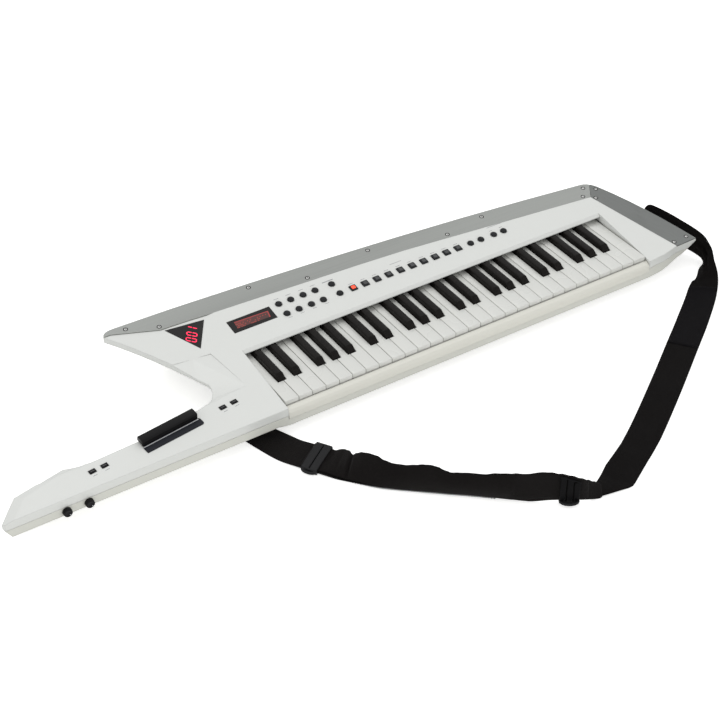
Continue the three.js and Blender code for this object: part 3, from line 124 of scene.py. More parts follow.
def addNode(tree, kind, values=None, **settings):
    node = tree.nodes.new(kind if kind.startswith("NodeGroup") else "ShaderNode" + kind)
    for key, value in settings.items():
        setattr(node, key, value)
    for key, value in (values or {}).items():
        feed(tree, node.inputs[key], value)
    return node


def calculate(tree, operation, first, second=0.0, clamp=False):
    return addNode(tree, "Math", {0: first, 1: second}, operation=operation, use_clamp=clamp).outputs[0]


def times(tree, first, second, clamp=False):
    return calculate(tree, "MULTIPLY", first, second, clamp)


# Two colours mixed by a mask that changes over the surface
def blendColor(tree, factor, first, second):
    first, second = (c if isinstance(c, bpy.types.NodeSocket) else (*c, 1.0) for c in (first, second))
    return addNode(tree, "Mix", {"Factor": factor, 6: first, 7: second}, data_type="RGBA").outputs[2]


# The range fromLow..fromHigh stretched to low..high
def rescale(tree, value, low, high, fromLow=0.0, fromHigh=1.0):
    values = {"Value": value, "From Min": fromLow, "From Max": fromHigh, "To Min": low, "To Max": high}
    return addNode(tree, "MapRange", values).outputs[0]


def noise(tree, vector, scale, detail, roughness=0.5):
    values = {"Vector": vector, "Scale": scale, "Detail": detail, "Roughness": roughness}
    return addNode(tree, "TexNoise", values).outputs["Fac"]


def whiteNoise(tree, vector):
    return addNode(tree, "TexWhiteNoise", {"Vector": vector}, noise_dimensions="2D").outputs["Value"]


# A group with its inputs and their defaults, and the names of its outputs
def newGroup(name, inputs, outputs):
    group = bpy.data.node_groups.new(name, "ShaderNodeTree")
    for side, labels in (("INPUT", inputs), ("OUTPUT", outputs)):
        for label in labels:
            kind = "Vector" if label in ("Vector", "Normal") else "Float"
            socket = group.interface.new_socket(label, in_out=side, socket_type="NodeSocket" + kind)
            if side == "INPUT" and kind == "Float":
                socket.default_value = inputs[label]
    return group, addNode(group, "NodeGroupInput").outputs, addNode(group, "NodeGroupOutput").inputs


def putOut(group, out, **results):
    for label, value in results.items():
        group.links.new(value, out[label])
    return group


# Fine moulded texture: noise at a scale for the height, and a slow noise for the tint
def makeGrainGroup():
    group, given, out = newGroup("fineGrain", {"Vector": None, "Scale": 900.0}, ("Height", "Tint"))
    slowScale = times(group, given["Scale"], 0.015)  # clouds about 67 times as wide as the grain
    return putOut(group, out, Height=noise(group, given["Vector"], given["Scale"], 3.0),
                  Tint=noise(group, given["Vector"], slowScale, 2.0))


# Rounded-edge normal, and mask = gain (1 - rounded normal . flat normal), the mask that lightens edges as
# wear and painted highlight
def makeEdgeGroup():
    group, given, out = newGroup("edgeWearAndHighlight", {"Radius": 0.001, "Gain": 6.0}, ("Normal", "Mask"))
    rounded = addNode(group, "Bevel", {"Radius": given["Radius"]}, samples=6).outputs["Normal"]
    flat = addNode(group, "NewGeometry").outputs["Normal"]
    dot = addNode(group, "VectorMath", {0: rounded, 1: flat}, operation="DOT_PRODUCT").outputs["Value"]
    mask = times(group, calculate(group, "SUBTRACT", 1.0, dot), given["Gain"], clamp=True)
    return putOut(group, out, Normal=rounded, Mask=mask)


# Dust and finger film: broken noise, more on faces that look up
def makeDustGroup():
    group, given, out = newGroup("dustFilm", {"Vector": None, "Scale": 60.0}, ("Mask",))
    cloud = noise(group, given["Vector"], given["Scale"], 6.0, 0.7)
    broken = rescale(group, cloud, 0.0, 1.0, 0.48, 0.72)
    facing = addNode(group, "SeparateXYZ", {0: addNode(group, "NewGeometry").outputs["Normal"]}).outputs["Z"]
    upward = rescale(group, facing, 0.3, 1.0)
    return putOut(group, out, Mask=times(group, broken, upward))


# Painted shade in gaps and corners: 1 where most of the sky within a short reach is hidden
def makeCreviceGroup():
    group, given, out = newGroup("creviceShade", {"Distance": 0.005, "Gain": 1.4}, ("Mask",))
    skyShare = addNode(group, "AmbientOcclusion", {"Distance": given["Distance"]}, samples=4).outputs["AO"]
    hidden = rescale(group, skyShare, 1.0, 0.0, 0.1, 0.75)
    return putOut(group, out, Mask=times(group, hidden, given["Gain"], clamp=True))


# Brushed metal: noise drawn out along X, so that each line is hundreds of times longer than wide
brushLines = {"Height": ((6.0, 4200.0, 4200.0), 2.0), "Tint": ((3.0, 500.0, 500.0), 3.0)}  # scale, detail


def makeBrushGroup():
    group, given, out = newGroup("brushedLines", {"Vector": None, "Turn": 0.0}, ("Height", "Tint"))
    turn = addNode(group, "CombineXYZ", {"Z": given["Turn"]}).outputs[0]
    turned = addNode(group, "Mapping", {"Vector": given["Vector"], "Rotation": turn}).outputs[0]
    for label, (scale, detail) in brushLines.items():
        stretched = addNode(group, "Mapping", {"Vector": turned, "Scale": scale}).outputs[0]
        group.links.new(noise(group, stretched, 1.0, detail), out[label])
    return group


# Webbing: ribs run along the strap and picks cross it, every other rib half a pick on.
# Height = rib swell times pick swell, each sin(pi fraction) to a power. Fleck varies from thread to thread.
def makeWeaveGroup():
    group, given, out = newGroup("webbingWeave", {"Vector": None, "Rib": 0.0012, "Pick": 0.0016},
                                 ("Height", "Fleck"))
    parts = addNode(group, "SeparateXYZ", {0: given["Vector"]}).outputs
    ribs = calculate(group, "DIVIDE", parts["X"], given["Rib"])
    ribIndex = calculate(group, "FLOOR", ribs)
    stagger = times(group, calculate(group, "MODULO", ribIndex, 2.0), 0.5)
    picks = calculate(group, "ADD", calculate(group, "DIVIDE", parts["Y"], given["Pick"]), stagger)

    def swell(threads, power):
        wave = calculate(group, "SINE", times(group, calculate(group, "FRACT", threads), math.pi))
        return calculate(group, "POWER", wave, power)

    cell = addNode(group, "CombineXYZ", {"X": ribIndex, "Y": calculate(group, "FLOOR", picks)}).outputs[0]
    return putOut(group, out, Height=times(group, swell(ribs, 0.6), swell(picks, 0.5)),
                  Fleck=whiteNoise(group, cell))


grainGroup = makeGrainGroup()
edgeGroup = makeEdgeGroup()
dustGroup = makeDustGroup()
creviceGroup = makeCreviceGroup()
brushGroup = makeBrushGroup()
weaveGroup = makeWeaveGroup()


def placeGroup(tree, group, **values):
    return addNode(tree, "Group", values, node_tree=group).outputs


# A Principled material with its constant values on the shader's own sockets
def newMaterial(name, **constants):
    material = bpy.data.materials.new(name)
    material.use_nodes = True
    tree = material.node_tree
    shader = tree.nodes["Principled BSDF"]
    for key, value in constants.items():
        shader.inputs[key.replace("_", " ")].default_value = value
    return material, tree, shader, addNode(tree, "TexCoord").outputs


def addBump(tree, shader, **values):
    tree.links.new(addNode(tree, "Bump", values).outputs[0], shader.inputs["Normal"])


# What the moulded and brushed finishes share, in metres and as shares of each mask's or noise's range, with
# the metal's painted edge highlight and painted crevice shade
finishes = {"edgeGain": 5.0, "dustScale": 45.0, "dustRough": 3.0, "fleckRange": (0.5, 0.66),
            "roughRange": (0.3, 0.7), "lineTint": 0.07, "edgeHighlight": 0.6, "metalReach": 0.002,
            "metalShadeColor": (0.02, 0.02, 0.02), "metalDepth": 0.0001}


# Moulded or painted plastic: grain, a slow change of tint, rounded edges lightened for wear and a painted
# highlight, dust, and painted shade in gaps and corners
def moulded(name, look):
    material, tree, shader, coords = newMaterial(name, **look["constants"])
    grain = placeGroup(tree, grainGroup, Vector=coords["Object"], Scale=look["grain"])
    edge = placeGroup(tree, edgeGroup, Radius=look["edge"], Gain=finishes["edgeGain"])
    dust = placeGroup(tree, dustGroup, Vector=coords["Object"], Scale=finishes["dustScale"])
    crevice = placeGroup(tree, creviceGroup, Distance=look["reach"], Gain=look["shadeGain"])
    color = np.array(look["color"])
    deep, pale = tuple(color * (1 - look["tint"])), tuple(np.minimum(color * (1 + look["tint"]), 1))
    surface = blendColor(tree, grain["Tint"], deep, pale)
    if look["fleck"]:
        flecks = rescale(tree, grain["Height"], 0.0, look["fleck"], *finishes["fleckRange"])
        surface = blendColor(tree, flecks, surface, look["fleckColor"])
    # Edges lightened: wear, and a painted highlight along them
    surface = blendColor(tree, times(tree, edge["Mask"], look["wearAndHighlight"]), surface, look["wornAndHighlightColor"])
    surface = blendColor(tree, times(tree, dust["Mask"], look["dust"]), surface, look["dustColor"])
    # Painted shade: the colour darkens to the crevice colour where little sky is seen, in gaps and corners
    surface = blendColor(tree, crevice["Mask"], surface, look["shadeColor"])
    tree.links.new(surface, shader.inputs["Base Color"])
    rough = rescale(tree, grain["Tint"], *look["rough"], *finishes["roughRange"])
    dustRough = times(tree, dust["Mask"], look["dust"] * finishes["dustRough"])
    tree.links.new(calculate(tree, "ADD", rough, dustRough), shader.inputs["Roughness"])
    addBump(tree, shader, Height=grain["Height"], Normal=edge["Normal"], Strength=look["bump"],
            Distance=look["depth"])
    return material


# Brushed and anodised plate: long fine lines in the height, the colour and the roughness, a painted highlight
# on its edges and painted shade in its crevices
def brushed(name, look):
    material, tree, shader, coords = newMaterial(name, Metallic=1.0, Anisotropic=look["anisotropy"])
    lines = placeGroup(tree, brushGroup, Vector=coords["Object"], Turn=look["turn"])
    edge = placeGroup(tree, edgeGroup, Radius=look["edge"], Gain=finishes["edgeGain"])
    crevice = placeGroup(tree, creviceGroup, Distance=finishes["metalReach"], Gain=look["shadeGain"])
    color, tint = np.array(look["color"]), finishes["lineTint"]
    surface = blendColor(tree, lines["Tint"], tuple(color * (1 - tint)), tuple(color * (1 + tint)))
    # Painted highlight: the edges are lightened towards a pale metal colour
    surface = blendColor(tree, times(tree, edge["Mask"], finishes["edgeHighlight"]), surface, look["edgeHighlightColor"])
    # Painted shade: the metal darkens where little sky is seen, in gaps and sockets
    surface = blendColor(tree, crevice["Mask"], surface, finishes["metalShadeColor"])
    tree.links.new(surface, shader.inputs["Base Color"])
    rough = rescale(tree, lines["Height"], *look["rough"], *finishes["roughRange"])
    tree.links.new(rough, shader.inputs["Roughness"])
    addBump(tree, shader, Height=lines["Height"], Normal=edge["Normal"], Strength=look["bump"],
            Distance=finishes["metalDepth"])
    return material


# Lit cells: how glossy they are, dots to the metre, and how the light falls off at each dot's rim
cells = {"rough": 0.2, "dots": 1600.0, "rimRange": (0.2, 0.7), "between": 0.75, "dim": 0.7}


# A lit display cell: its own light over a dark glossy body, with a faint dot pattern
def lit(name, color, strength, glass):
    material, tree, shader, coords = newMaterial(name, Roughness=cells["rough"], Emission_Strength=strength)
    dots = addNode(tree, "TexVoronoi", {"Vector": coords["Object"], "Scale": cells["dots"]})
    mask = rescale(tree, dots.outputs["Distance"], 1.0, cells["between"], *cells["rimRange"])
    glow = blendColor(tree, mask, tuple(np.array(color) * cells["dim"]), color)
    tree.links.new(glow, shader.inputs["Emission Color"])
    tree.links.new(blendColor(tree, mask, glass, color), shader.inputs["Base Color"])
    return material


# In each look the crevice colour and gain paint shade into gaps and corners, and the edge colour and share
# stand for wear with a painted highlight
whitePlastic = {"color": (0.705, 0.718, 0.695), "grain": 1100.0, "edge": 0.0022, "tint": 0.012, "wearAndHighlight": 0.3,
                "wornAndHighlightColor": (0.8, 0.81, 0.79), "dust": 0.04, "dustColor": (0.62, 0.6, 0.55),
                "rough": (0.34, 0.46), "bump": 0.08, "depth": 0.0001, "reach": 0.005, "shadeGain": 0.75,
                "shadeColor": (0.33, 0.32, 0.28), "fleck": 0.0, "fleckColor": (0.5, 0.5, 0.5),
                "constants": {"Coat_Weight": 0.15, "Coat_Roughness": 0.2}}
warmPlastic = {**whitePlastic, "color": (0.66, 0.665, 0.61), "grain": 1500.0, "rough": (0.42, 0.55),
               "wornAndHighlightColor": (0.74, 0.74, 0.7), "bump": 0.12, "constants": {}}
# The slip's dark brown crevice colour: painted shade under the key fronts, with some dirt
slipPlastic = {**warmPlastic, "color": (0.735, 0.73, 0.665), "shadeColor": (0.13, 0.1, 0.065), "shadeGain": 1.0,
               "reach": 0.012}
ivoryKey = {**whitePlastic, "color": (0.69, 0.697, 0.665), "edge": 0.0006, "rough": (0.22, 0.32),
            "dust": 0.0, "shadeGain": 0.25, "shadeColor": (0.4, 0.38, 0.33), "reach": 0.006,
            "constants": {"Coat_Weight": 0.3, "Coat_Roughness": 0.12}}
ebonyKey = {**whitePlastic, "color": (0.004, 0.0035, 0.003), "grain": 900.0, "edge": 0.0008, "tint": 0.3,
            "wearAndHighlight": 0.4, "wornAndHighlightColor": (0.04, 0.038, 0.035), "dust": 0.012, "dustColor": (0.1, 0.09, 0.08),
            "rough": (0.3, 0.5), "bump": 0.35, "depth": 0.0002, "shadeGain": 0.0,
            "shadeColor": (0.005, 0.005, 0.005), "fleck": 0.5, "fleckColor": (0.03, 0.025, 0.022),
            "constants": {"Specular_IOR_Level": 0.1}}
blackPlastic = {**ebonyKey, "color": (0.004, 0.004, 0.0045), "grain": 1500.0, "rough": (0.3, 0.42),
                "bump": 0.15, "depth": 0.0001, "wornAndHighlightColor": (0.025, 0.025, 0.027), "fleck": 0.1,
                "constants": {"Specular_IOR_Level": 0.12}}
ribbonFilm = {**blackPlastic, "color": (0.015, 0.0165, 0.0215), "wearAndHighlight": 0.1, "rough": (0.36, 0.44),
              "dust": 0.03}
buttonRubber = {**blackPlastic, "color": (0.017, 0.018, 0.02), "grain": 2600.0, "edge": 0.0007,
                "rough": (0.4, 0.55), "wornAndHighlightColor": (0.07, 0.075, 0.08)}
lensGrey = {**blackPlastic, "color": (0.04, 0.043, 0.045), "edge": 0.0003, "rough": (0.22, 0.3),
            "wearAndHighlight": 0.2, "wornAndHighlightColor": (0.15, 0.15, 0.15), "constants": {"Specular_IOR_Level": 0.5}}
smokedGlass = {**blackPlastic, "color": (0.009, 0.008, 0.0085), "edge": 0.0003, "rough": (0.08, 0.14),
               "bump": 0.01, "dust": 0.03, "wornAndHighlightColor": (0.04, 0.04, 0.045),
               "constants": {"Specular_IOR_Level": 0.25}}
sliderNylon = {**blackPlastic, "color": (0.007, 0.0074, 0.0085), "edge": 0.001, "rough": (0.42, 0.55),
               "wornAndHighlightColor": (0.05, 0.05, 0.055), "wearAndHighlight": 0.5, "constants": {"Specular_IOR_Level": 0.17}}
darkNylon = {**sliderNylon, "color": (0.002, 0.002, 0.0024), "wornAndHighlightColor": (0.01, 0.01, 0.012),
             "constants": {"Specular_IOR_Level": 0.06}}
boardResin = {**whitePlastic, "color": (0.03, 0.15, 0.07), "tint": 0.1, "wornAndHighlightColor": (0.2, 0.3, 0.15),
              "rough": (0.4, 0.5), "constants": {}}
cellSleeve = {**boardResin, "color": (0.25, 0.18, 0.07), "wornAndHighlightColor": (0.4, 0.35, 0.2)}
printInk = {**whitePlastic, "color": (0.27, 0.28, 0.29), "edge": 0.0001, "wearAndHighlight": 0.0, "rough": (0.5, 0.6),
            "shadeGain": 0.0, "constants": {}}
backMetal = {"color": (0.3, 0.31, 0.297), "edgeHighlightColor": (0.7, 0.72, 0.7), "edge": 0.0005, "turn": 0.0,
             "rough": (0.32, 0.42), "bump": 0.15, "anisotropy": 0.5, "shadeGain": 0.5}
# The end plate: the back plate's metal with its lines turned, painted darker as painted shade
endMetalShaded = {**backMetal, "color": (0.165, 0.172, 0.167), "edgeHighlightColor": (0.5, 0.52, 0.5), "turn": 1.2}
boltMetal = {**backMetal, "color": (0.5, 0.5, 0.49), "rough": (0.22, 0.32), "edge": 0.0003,
             "anisotropy": 0.0, "shadeGain": 1.0}

coverWhite = moulded("coverWhite", whitePlastic)
warmWhite = moulded("warmWhite", warmPlastic)
slipCream = moulded("slipCream", slipPlastic)
keyIvory = moulded("keyIvory", ivoryKey)
keyEbony = moulded("keyEbony", ebonyKey)
controlBlack = moulded("controlBlack", blackPlastic)
ribbonBlue = moulded("ribbonBlue", ribbonFilm)
rubberGrey = moulded("rubberGrey", buttonRubber)
buttonLens = moulded("buttonLens", lensGrey)
windowSmoke = moulded("windowSmoke", smokedGlass)
nylonGrey = moulded("nylonGrey", sliderNylon)
nylonBlack = moulded("nylonBlack", darkNylon)
circuitGreen = moulded("circuitGreen", boardResin)
sleeveBronze = moulded("sleeveBronze", cellSleeve)
inkGrey = moulded("inkGrey", printInk)
inkPale = moulded("inkPale", {**printInk, "color": (0.62, 0.63, 0.64)})
inkDim = moulded("inkDim", {**printInk, "color": (0.07, 0.073, 0.077)})
wellBlack = moulded("wellBlack", {**blackPlastic, "color": (0.012, 0.012, 0.012), "rough": (0.5, 0.6)})
trimBright = moulded("trimBright", {**printInk, "color": (0.58, 0.59, 0.6), "rough": (0.3, 0.4)})
backBrushed = brushed("backBrushed", backMetal)
endBrushedShaded = brushed("endBrushedShaded", endMetalShaded)
boltSteel = brushed("boltSteel", boltMetal)
digitRed = lit("digitRed", (1.0, 0.02, 0.09), 1.0, (0.1, 0.005, 0.01))
buttonRed = lit("buttonRed", (1.0, 0.075, 0.03), 0.9, (0.2, 0.02, 0.01))

# Weaves: rib and pick in metres, the colour in the gaps and on the threads, sheen, fuzz and lint
strapWeave = {"rib": 0.0012, "pick": 0.0016, "shadow": (0.0015, 0.0013, 0.0013),
              "light": (0.0105, 0.0085, 0.008), "sheen": 0.04, "sheenRough": 0.5, "specular": 0.08,
              "fuzz": 1800.0, "fuzzHeight": 0.4, "rough": (0.78, 0.95), "lint": 240.0, "lintShare": 0.02,
              "lintColor": (0.1, 0.09, 0.09), "evenShare": 0.6, "bump": 0.7, "depth": 0.0004}
# The flat end of the strap: the same webbing with darker threads and less sheen, as painted shade
shadedFlatWeave = {**strapWeave, "shadow": (0.0008, 0.0006, 0.0006), "light": (0.0055, 0.0042, 0.004),
             "sheen": 0.015}
patchWeave = {**shadedFlatWeave, "rib": 0.0005, "pick": 0.0005, "shadow": (0.001, 0.0008, 0.0012),
              "light": (0.005, 0.004, 0.0055)}


# Woven webbing along the strap's own UV map: thread = height (even share + (1 - even share) fleck)
def makeWebbing(name, look):
    material, tree, shader, coords = newMaterial(name, Sheen_Weight=look["sheen"],
                                                 Sheen_Roughness=look["sheenRough"],
                                                 Specular_IOR_Level=look["specular"])
    weave = placeGroup(tree, weaveGroup, Vector=coords["UV"], Rib=look["rib"], Pick=look["pick"])
    fuzz = placeGroup(tree, grainGroup, Vector=coords["Object"], Scale=look["fuzz"])
    lint = placeGroup(tree, dustGroup, Vector=coords["Object"], Scale=look["lint"])
    fleck = calculate(tree, "ADD", look["evenShare"], times(tree, weave["Fleck"], 1 - look["evenShare"]))
    thread = blendColor(tree, times(tree, weave["Height"], fleck), look["shadow"], look["light"])
    linted = blendColor(tree, times(tree, lint["Mask"], look["lintShare"]), thread, look["lintColor"])
    tree.links.new(linted, shader.inputs["Base Color"])
    tree.links.new(rescale(tree, fuzz["Tint"], *look["rough"]), shader.inputs["Roughness"])
    height = calculate(tree, "ADD", weave["Height"], times(tree, fuzz["Height"], look["fuzzHeight"]))
    addBump(tree, shader, Height=height, Strength=look["bump"], Distance=look["depth"])
    return material


# Long display: cells to its length and height, the share of each that is lit, the share of dark cells
# at its left end and how much it grows, and where the plain band above and the bright rim begin
displayCells = {"columns": 24.0, "rows": 4.0, "wide": 0.78, "tall": 0.62, "dark": 0.3, "darkGrows": 0.5,
                "bandFrom": 0.8, "rimAbove": 0.88, "rimRight": 0.965, "strength": 0.55,
                "ground": ((0.16, 0.018, 0.014), (0.07, 0.016, 0.012)), "cellColor": (0.45, 0.05, 0.03),
                "rimColor": (0.62, 0.05, 0.05), "glass": ((0.02, 0.01, 0.01), (0.06, 0.01, 0.01))}


# The lit strip of the display: rows of dot-matrix cells, some dark, on a red-orange ground
def makeDisplayGlow():
    material, tree, shader, coords = newMaterial("displayGlow", Roughness=cells["rough"],
                                                 Emission_Strength=displayCells["strength"])
    parts = addNode(tree, "SeparateXYZ", {0: coords["UV"]}).outputs
    columns = times(tree, parts["X"], displayCells["columns"])
    rows = times(tree, parts["Y"], displayCells["rows"])
    cell = addNode(tree, "CombineXYZ", {"X": calculate(tree, "FLOOR", columns),
                                        "Y": calculate(tree, "FLOOR", rows)}).outputs[0]
    darkShare = calculate(tree, "ADD", displayCells["dark"],
                          times(tree, parts["X"], displayCells["darkGrows"]))
    shown = calculate(tree, "GREATER_THAN", whiteNoise(tree, cell), darkShare)
    inCell = ((calculate(tree, "FRACT", columns), "wide"), (calculate(tree, "FRACT", rows), "tall"))
    for value, limit in (*inCell, (parts["Y"], "bandFrom")):
        shown = times(tree, shown, calculate(tree, "LESS_THAN", value, displayCells[limit]))
    above, right = (calculate(tree, "GREATER_THAN", parts[axis], displayCells[limit])
                    for axis, limit in (("Y", "rimAbove"), ("X", "rimRight")))
    glow = blendColor(tree, parts["X"], *displayCells["ground"])
    glow = blendColor(tree, shown, glow, displayCells["cellColor"])
    glow = blendColor(tree, calculate(tree, "MAXIMUM", above, right), glow, displayCells["rimColor"])
    tree.links.new(glow, shader.inputs["Emission Color"])
    tree.links.new(blendColor(tree, shown, *displayCells["glass"]), shader.inputs["Base Color"])
    return material


webbingBlack = makeWebbing("webbingBlack", strapWeave)
webbingFlatShaded = makeWebbing("webbingFlatShaded", shadedFlatWeave)
patchBlack = makeWebbing("patchBlack", patchWeave)
displayGlow = makeDisplayGlow()
print("materials made:", len(bpy.data.materials))


# Pieces and their meshes: points and faces, riding on a body. A uv has a row for each corner of each face
def newPiece(name, points, faces, material, body, uv=None, smooth=True):
    mesh = bpy.data.meshes.new(name)
    places = np.asarray(points, float).reshape(-1, 3).tolist()
    mesh.from_pydata(places, [], [list(map(int, face)) for face in faces])
    if uv is not None:
        mesh.uv_layers.new(name="UVMap").uv.foreach_set("vector", np.asarray(uv, np.float32).ravel())
    mesh.materials.append(material)
    if smooth:
        mesh.shade_smooth()
    mesh.update()
    piece = placeObject(name, mesh)
    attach(piece, body)
    return piece


def bodyOf(name):
    return nodes[name]["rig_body"]


# Faces of a tube: row i, column j, then the next column and row, closed around, with a cap at each end
def tubeFaces(rows, columns, start=0):
    i, j = np.meshgrid(np.arange(rows - 1), np.arange(columns), indexing="ij")
    following = (j + 1) % columns
    quads = np.stack([i * columns + j, i * columns + following, (i + 1) * columns + following,
                      (i + 1) * columns + j], -1).reshape(-1, 4)
    first = np.arange(start, start + columns)
    return (quads + start).tolist() + [first[::-1].tolist(), (first + (rows - 1) * columns).tolist()]


# Faces of a prism: its lower ring reversed, its upper ring, then its sides
def prismFaces(count, start=0):
    ring = np.arange(count)
    following = (ring + 1) % count
    sides = np.stack([ring, following, count + following, count + ring], -1)
    return [(face + start).tolist() for face in (ring[::-1], ring + count, *sides)]


# A profile of (radius, height) carried round the Z axis: x = r cos a, y = r sin a
def turned(profile, sides=32, ripple=None):
    angles = np.arange(sides) * 2 * math.pi / sides
    radius, height = np.asarray(profile, float).T
    spread = radius[:, None] * (np.ones(sides) if ripple is None else ripple(angles, height[:, None]))
    return np.stack([spread * np.cos(angles), spread * np.sin(angles), np.broadcast_to(
        height[:, None], spread.shape)], -1)


# Closed shells of (rows, columns, 3) points as one smooth piece
def shellPiece(name, shells, material, body):
    points, faces, start = [], [], 0
    for shell in shells:
        rows, columns = shell.shape[:2]
        points.append(shell.reshape(-1, 3))
        faces += tubeFaces(rows, columns, start)
        start += rows * columns
    return newPiece(name, np.concatenate(points), faces, material, body)


# Flat slabs on the panel between two heights, as one piece. Outlines list (x, up) anticlockwise
def slabPiece(name, outlines, low, high, material, body):
    points, faces, start = [], [], 0
    for corners in outlines:
        x, up = np.asarray(corners, float).T
        points += [onPanel(x, up, low), onPanel(x, up, high)]
        faces += prismFaces(len(x), start)
        start += 2 * len(x)
    return newPiece(name, np.concatenate(points), faces, material, body, smooth=False)


# Paint on the solids, by the starts of their names
paints = (
    (coverWhite, ("top_cover",)),
    (warmWhite, ("bottom_cover", "battery_cover", "strap_pin_end")),
    (slipCream, ("key_slip",)),
    (backBrushed, ("back_edge_plate",)),
    (endBrushedShaded, ("end_edge_plate",)),
    (keyIvory, ("white_key",)),
    (keyEbony, ("black_key",)),
    (rubberGrey, ("round_buttons", "square_button", "neck_button")),
    (windowSmoke, ("display", "triangle_window", "digit_display")),
    (ribbonBlue, ("ribbon_strip",)),
    (trimBright, ("ribbon_trim",)),
    (controlBlack, ("modulation_bar", "knob", "output_jack", "power_inlet")),
    (boltSteel, ("key_frame", "strap_pin_neck")),
    (circuitGreen, ("main_board", "panel_board", "neck_switch_board", "neck_pot_board")),
    (sleeveBronze, ("batteries",)),
    (webbingBlack, ("strap_webbing",)),
    (nylonGrey, ("strap_slider",)),
)
for name in nodes:
    look = next(paint for paint, starts in paints if name.startswith(starts))
    nodes[name].data.materials.clear()
    nodes[name].data.materials.append(look)

# Eased edges, by the starts of names: width in mm, segments, the angle in degrees from which an edge is
# eased, finish and slot
eased = {
    "white_key": (0.7, 2, 40.0, keyIvory, "key_white"),
    "black_key": (0.9, 2, 12.0, keyEbony, "key_black"),
    "square_button": (0.9, 3, 40.0, rubberGrey, "button_grey"),
    "neck_button": (0.8, 3, 40.0, controlBlack, "button_grey"),
    "modulation_bar": (1.2, 3, 25.0, controlBlack, "touch_black"),
}
cadMesh = {"merge": 2e-6, "flatAngle": 0.6}  # metres between doubles, degrees between coplanar triangles


# A copy of a CAD node with its coplanar triangles joined and its sharp edges rounded
def softEdges(name):
    width, segments, angle, material, slot = next(eased[start] for start in eased if name.startswith(start))
    mesh = nodes[name].data.copy()
    shape = bmesh.new()
    shape.from_mesh(mesh)
    bmesh.ops.remove_doubles(shape, verts=shape.verts, dist=cadMesh["merge"])
    bmesh.ops.dissolve_limit(shape, angle_limit=math.radians(cadMesh["flatAngle"]), verts=shape.verts,
                             edges=shape.edges)
    shape.to_mesh(mesh)
    shape.free()
    mesh.materials.clear()
    mesh.materials.append(material)
    mesh.shade_smooth()
    piece = placeObject(name + "_soft", mesh)
    bevel = piece.modifiers.new("edges", "BEVEL")
    bevel.width = width * milli
    bevel.segments = segments
    bevel.limit_method = "ANGLE"
    bevel.angle_limit = math.radians(angle)
    bevel.use_clamp_overlap = True
    bevel.harden_normals = True
    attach(piece, bodyOf(name))
    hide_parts(name)


for name in nodes:
    if name.startswith(("white_key", "black_key")):
        softEdges(name)
print("keys made")


# Height above the panel of a node's highest point: z cos - (y - front) sin, in mm
def aboveAt(name):
    mesh = nodes[name].data
    points = np.empty(len(mesh.vertices) * 3)
    mesh.vertices.foreach_get("co", points)
    x, y, z = (points.reshape(-1, 3) / milli - panel["origin"]).T
    return float(np.max(z * tiltCos - (y - panel["front"]) * tiltSin))


# Corners of a rectangle about a place, turned in the panel's plane
def box4(x, up, width, height, turn=0.0):
    a = math.radians(turn)
    local = np.array([(-width, -height), (width, -height), (width, height), (-width, height)]) / 2
    return local @ np.array([(math.cos(a), math.sin(a)), (-math.sin(a), math.cos(a))]) + (x, up)


# Corners of a rectangle whose corners are quarter circles: centre + radius (cos a, sin a)
def roundedBox(x, up, width, height, radius, arc=4):
    steps = np.linspace(0, math.pi / 2, arc)
    local = []
    for k, (sx, sy) in enumerate([(1, 1), (-1, 1), (-1, -1), (1, -1)]):
        angles = steps + k * math.pi / 2
        centre = np.array([sx * (width / 2 - radius), sy * (height / 2 - radius)])
        local.append(centre + radius * np.stack([np.cos(angles), np.sin(angles)], -1))
    return np.concatenate(local) + (x, up)


# Round push buttons: a low dome on each, in mm, its skirt sunk in the button
dome = {"radius": 5.1, "rise": 1.1, "power": 2.6, "rings": 9, "sunk": 0.05, "skirt": 0.2, "footShare": 0.98,
        "places": {
            "round_buttons_upper": [(98.8, 166.5), (120.6, 166.5), (143.1, 166.5), (164.9, 166.5)],
            "round_buttons_lower": [(99.5, 142.0), (121.3, 142.0), (143.8, 142.0), (165.6, 142.0)],
            "round_buttons_pair": [(195.6, 166.5), (196.3, 142.3)],
            "round_buttons_right": [(447.7, 142.8), (468.2, 142.8), (494.1, 142.8), (513.9, 142.8)]}}


# Dome profile: height = base + rise (1 - share^power) at radius times share, closed below
def makeDomes():
    share = np.linspace(1, nearZero, dome["rings"])
    for name, places in dome["places"].items():
        base = aboveAt(name) - dome["sunk"]
        foot = base - dome["skirt"]
        profile = [(nearZero, foot), (dome["radius"] * dome["footShare"], foot)]
        profile += [(dome["radius"] * s, base + dome["rise"] * (1 - s ** dome["power"])) for s in share]
        x, y, z = np.moveaxis(turned(profile), -1, 0)
        shells = [onPanel(across + x, up + y, z) for across, up in places]
        shellPiece(name + "_domes", shells, rubberGrey, bodyOf(name))


# Square push buttons: a clear lens on each, the first one lit
squareButtons = {"first": 221.5, "pitch": 22.34, "up": 142.8, "count": 10, "lens": 6.6, "corner": 1.0,
                 "rim": 0.35, "depth": 0.3}
squareXs = [squareButtons["first"] + squareButtons["pitch"] * i for i in range(squareButtons["count"])]


# Each lens is a rounded square at first + pitch i, from a depth in the button to its rim above it
def makeLenses():
    size = squareButtons["lens"]
    for i, x in enumerate(squareXs):
        name = f"square_button_{i + 1}"
        softEdges(name)
        top = aboveAt(name)
        outline = roundedBox(x, squareButtons["up"], size, size, squareButtons["corner"])
        slabPiece(name + "_lens", [outline], top - squareButtons["depth"], top + squareButtons["rim"],
                  buttonRed if i == 0 else buttonLens, bodyOf(name))


# Neck buttons: a dim bar along each
neckBars = {"places": [(-304.6, -5.7), (-284.9, -4.1), (-84.5, 14.7), (-64.7, 16.6)], "turn": 6.0,
            "length": 6.4, "width": 1.0, "rise": 0.12, "depth": 0.2}


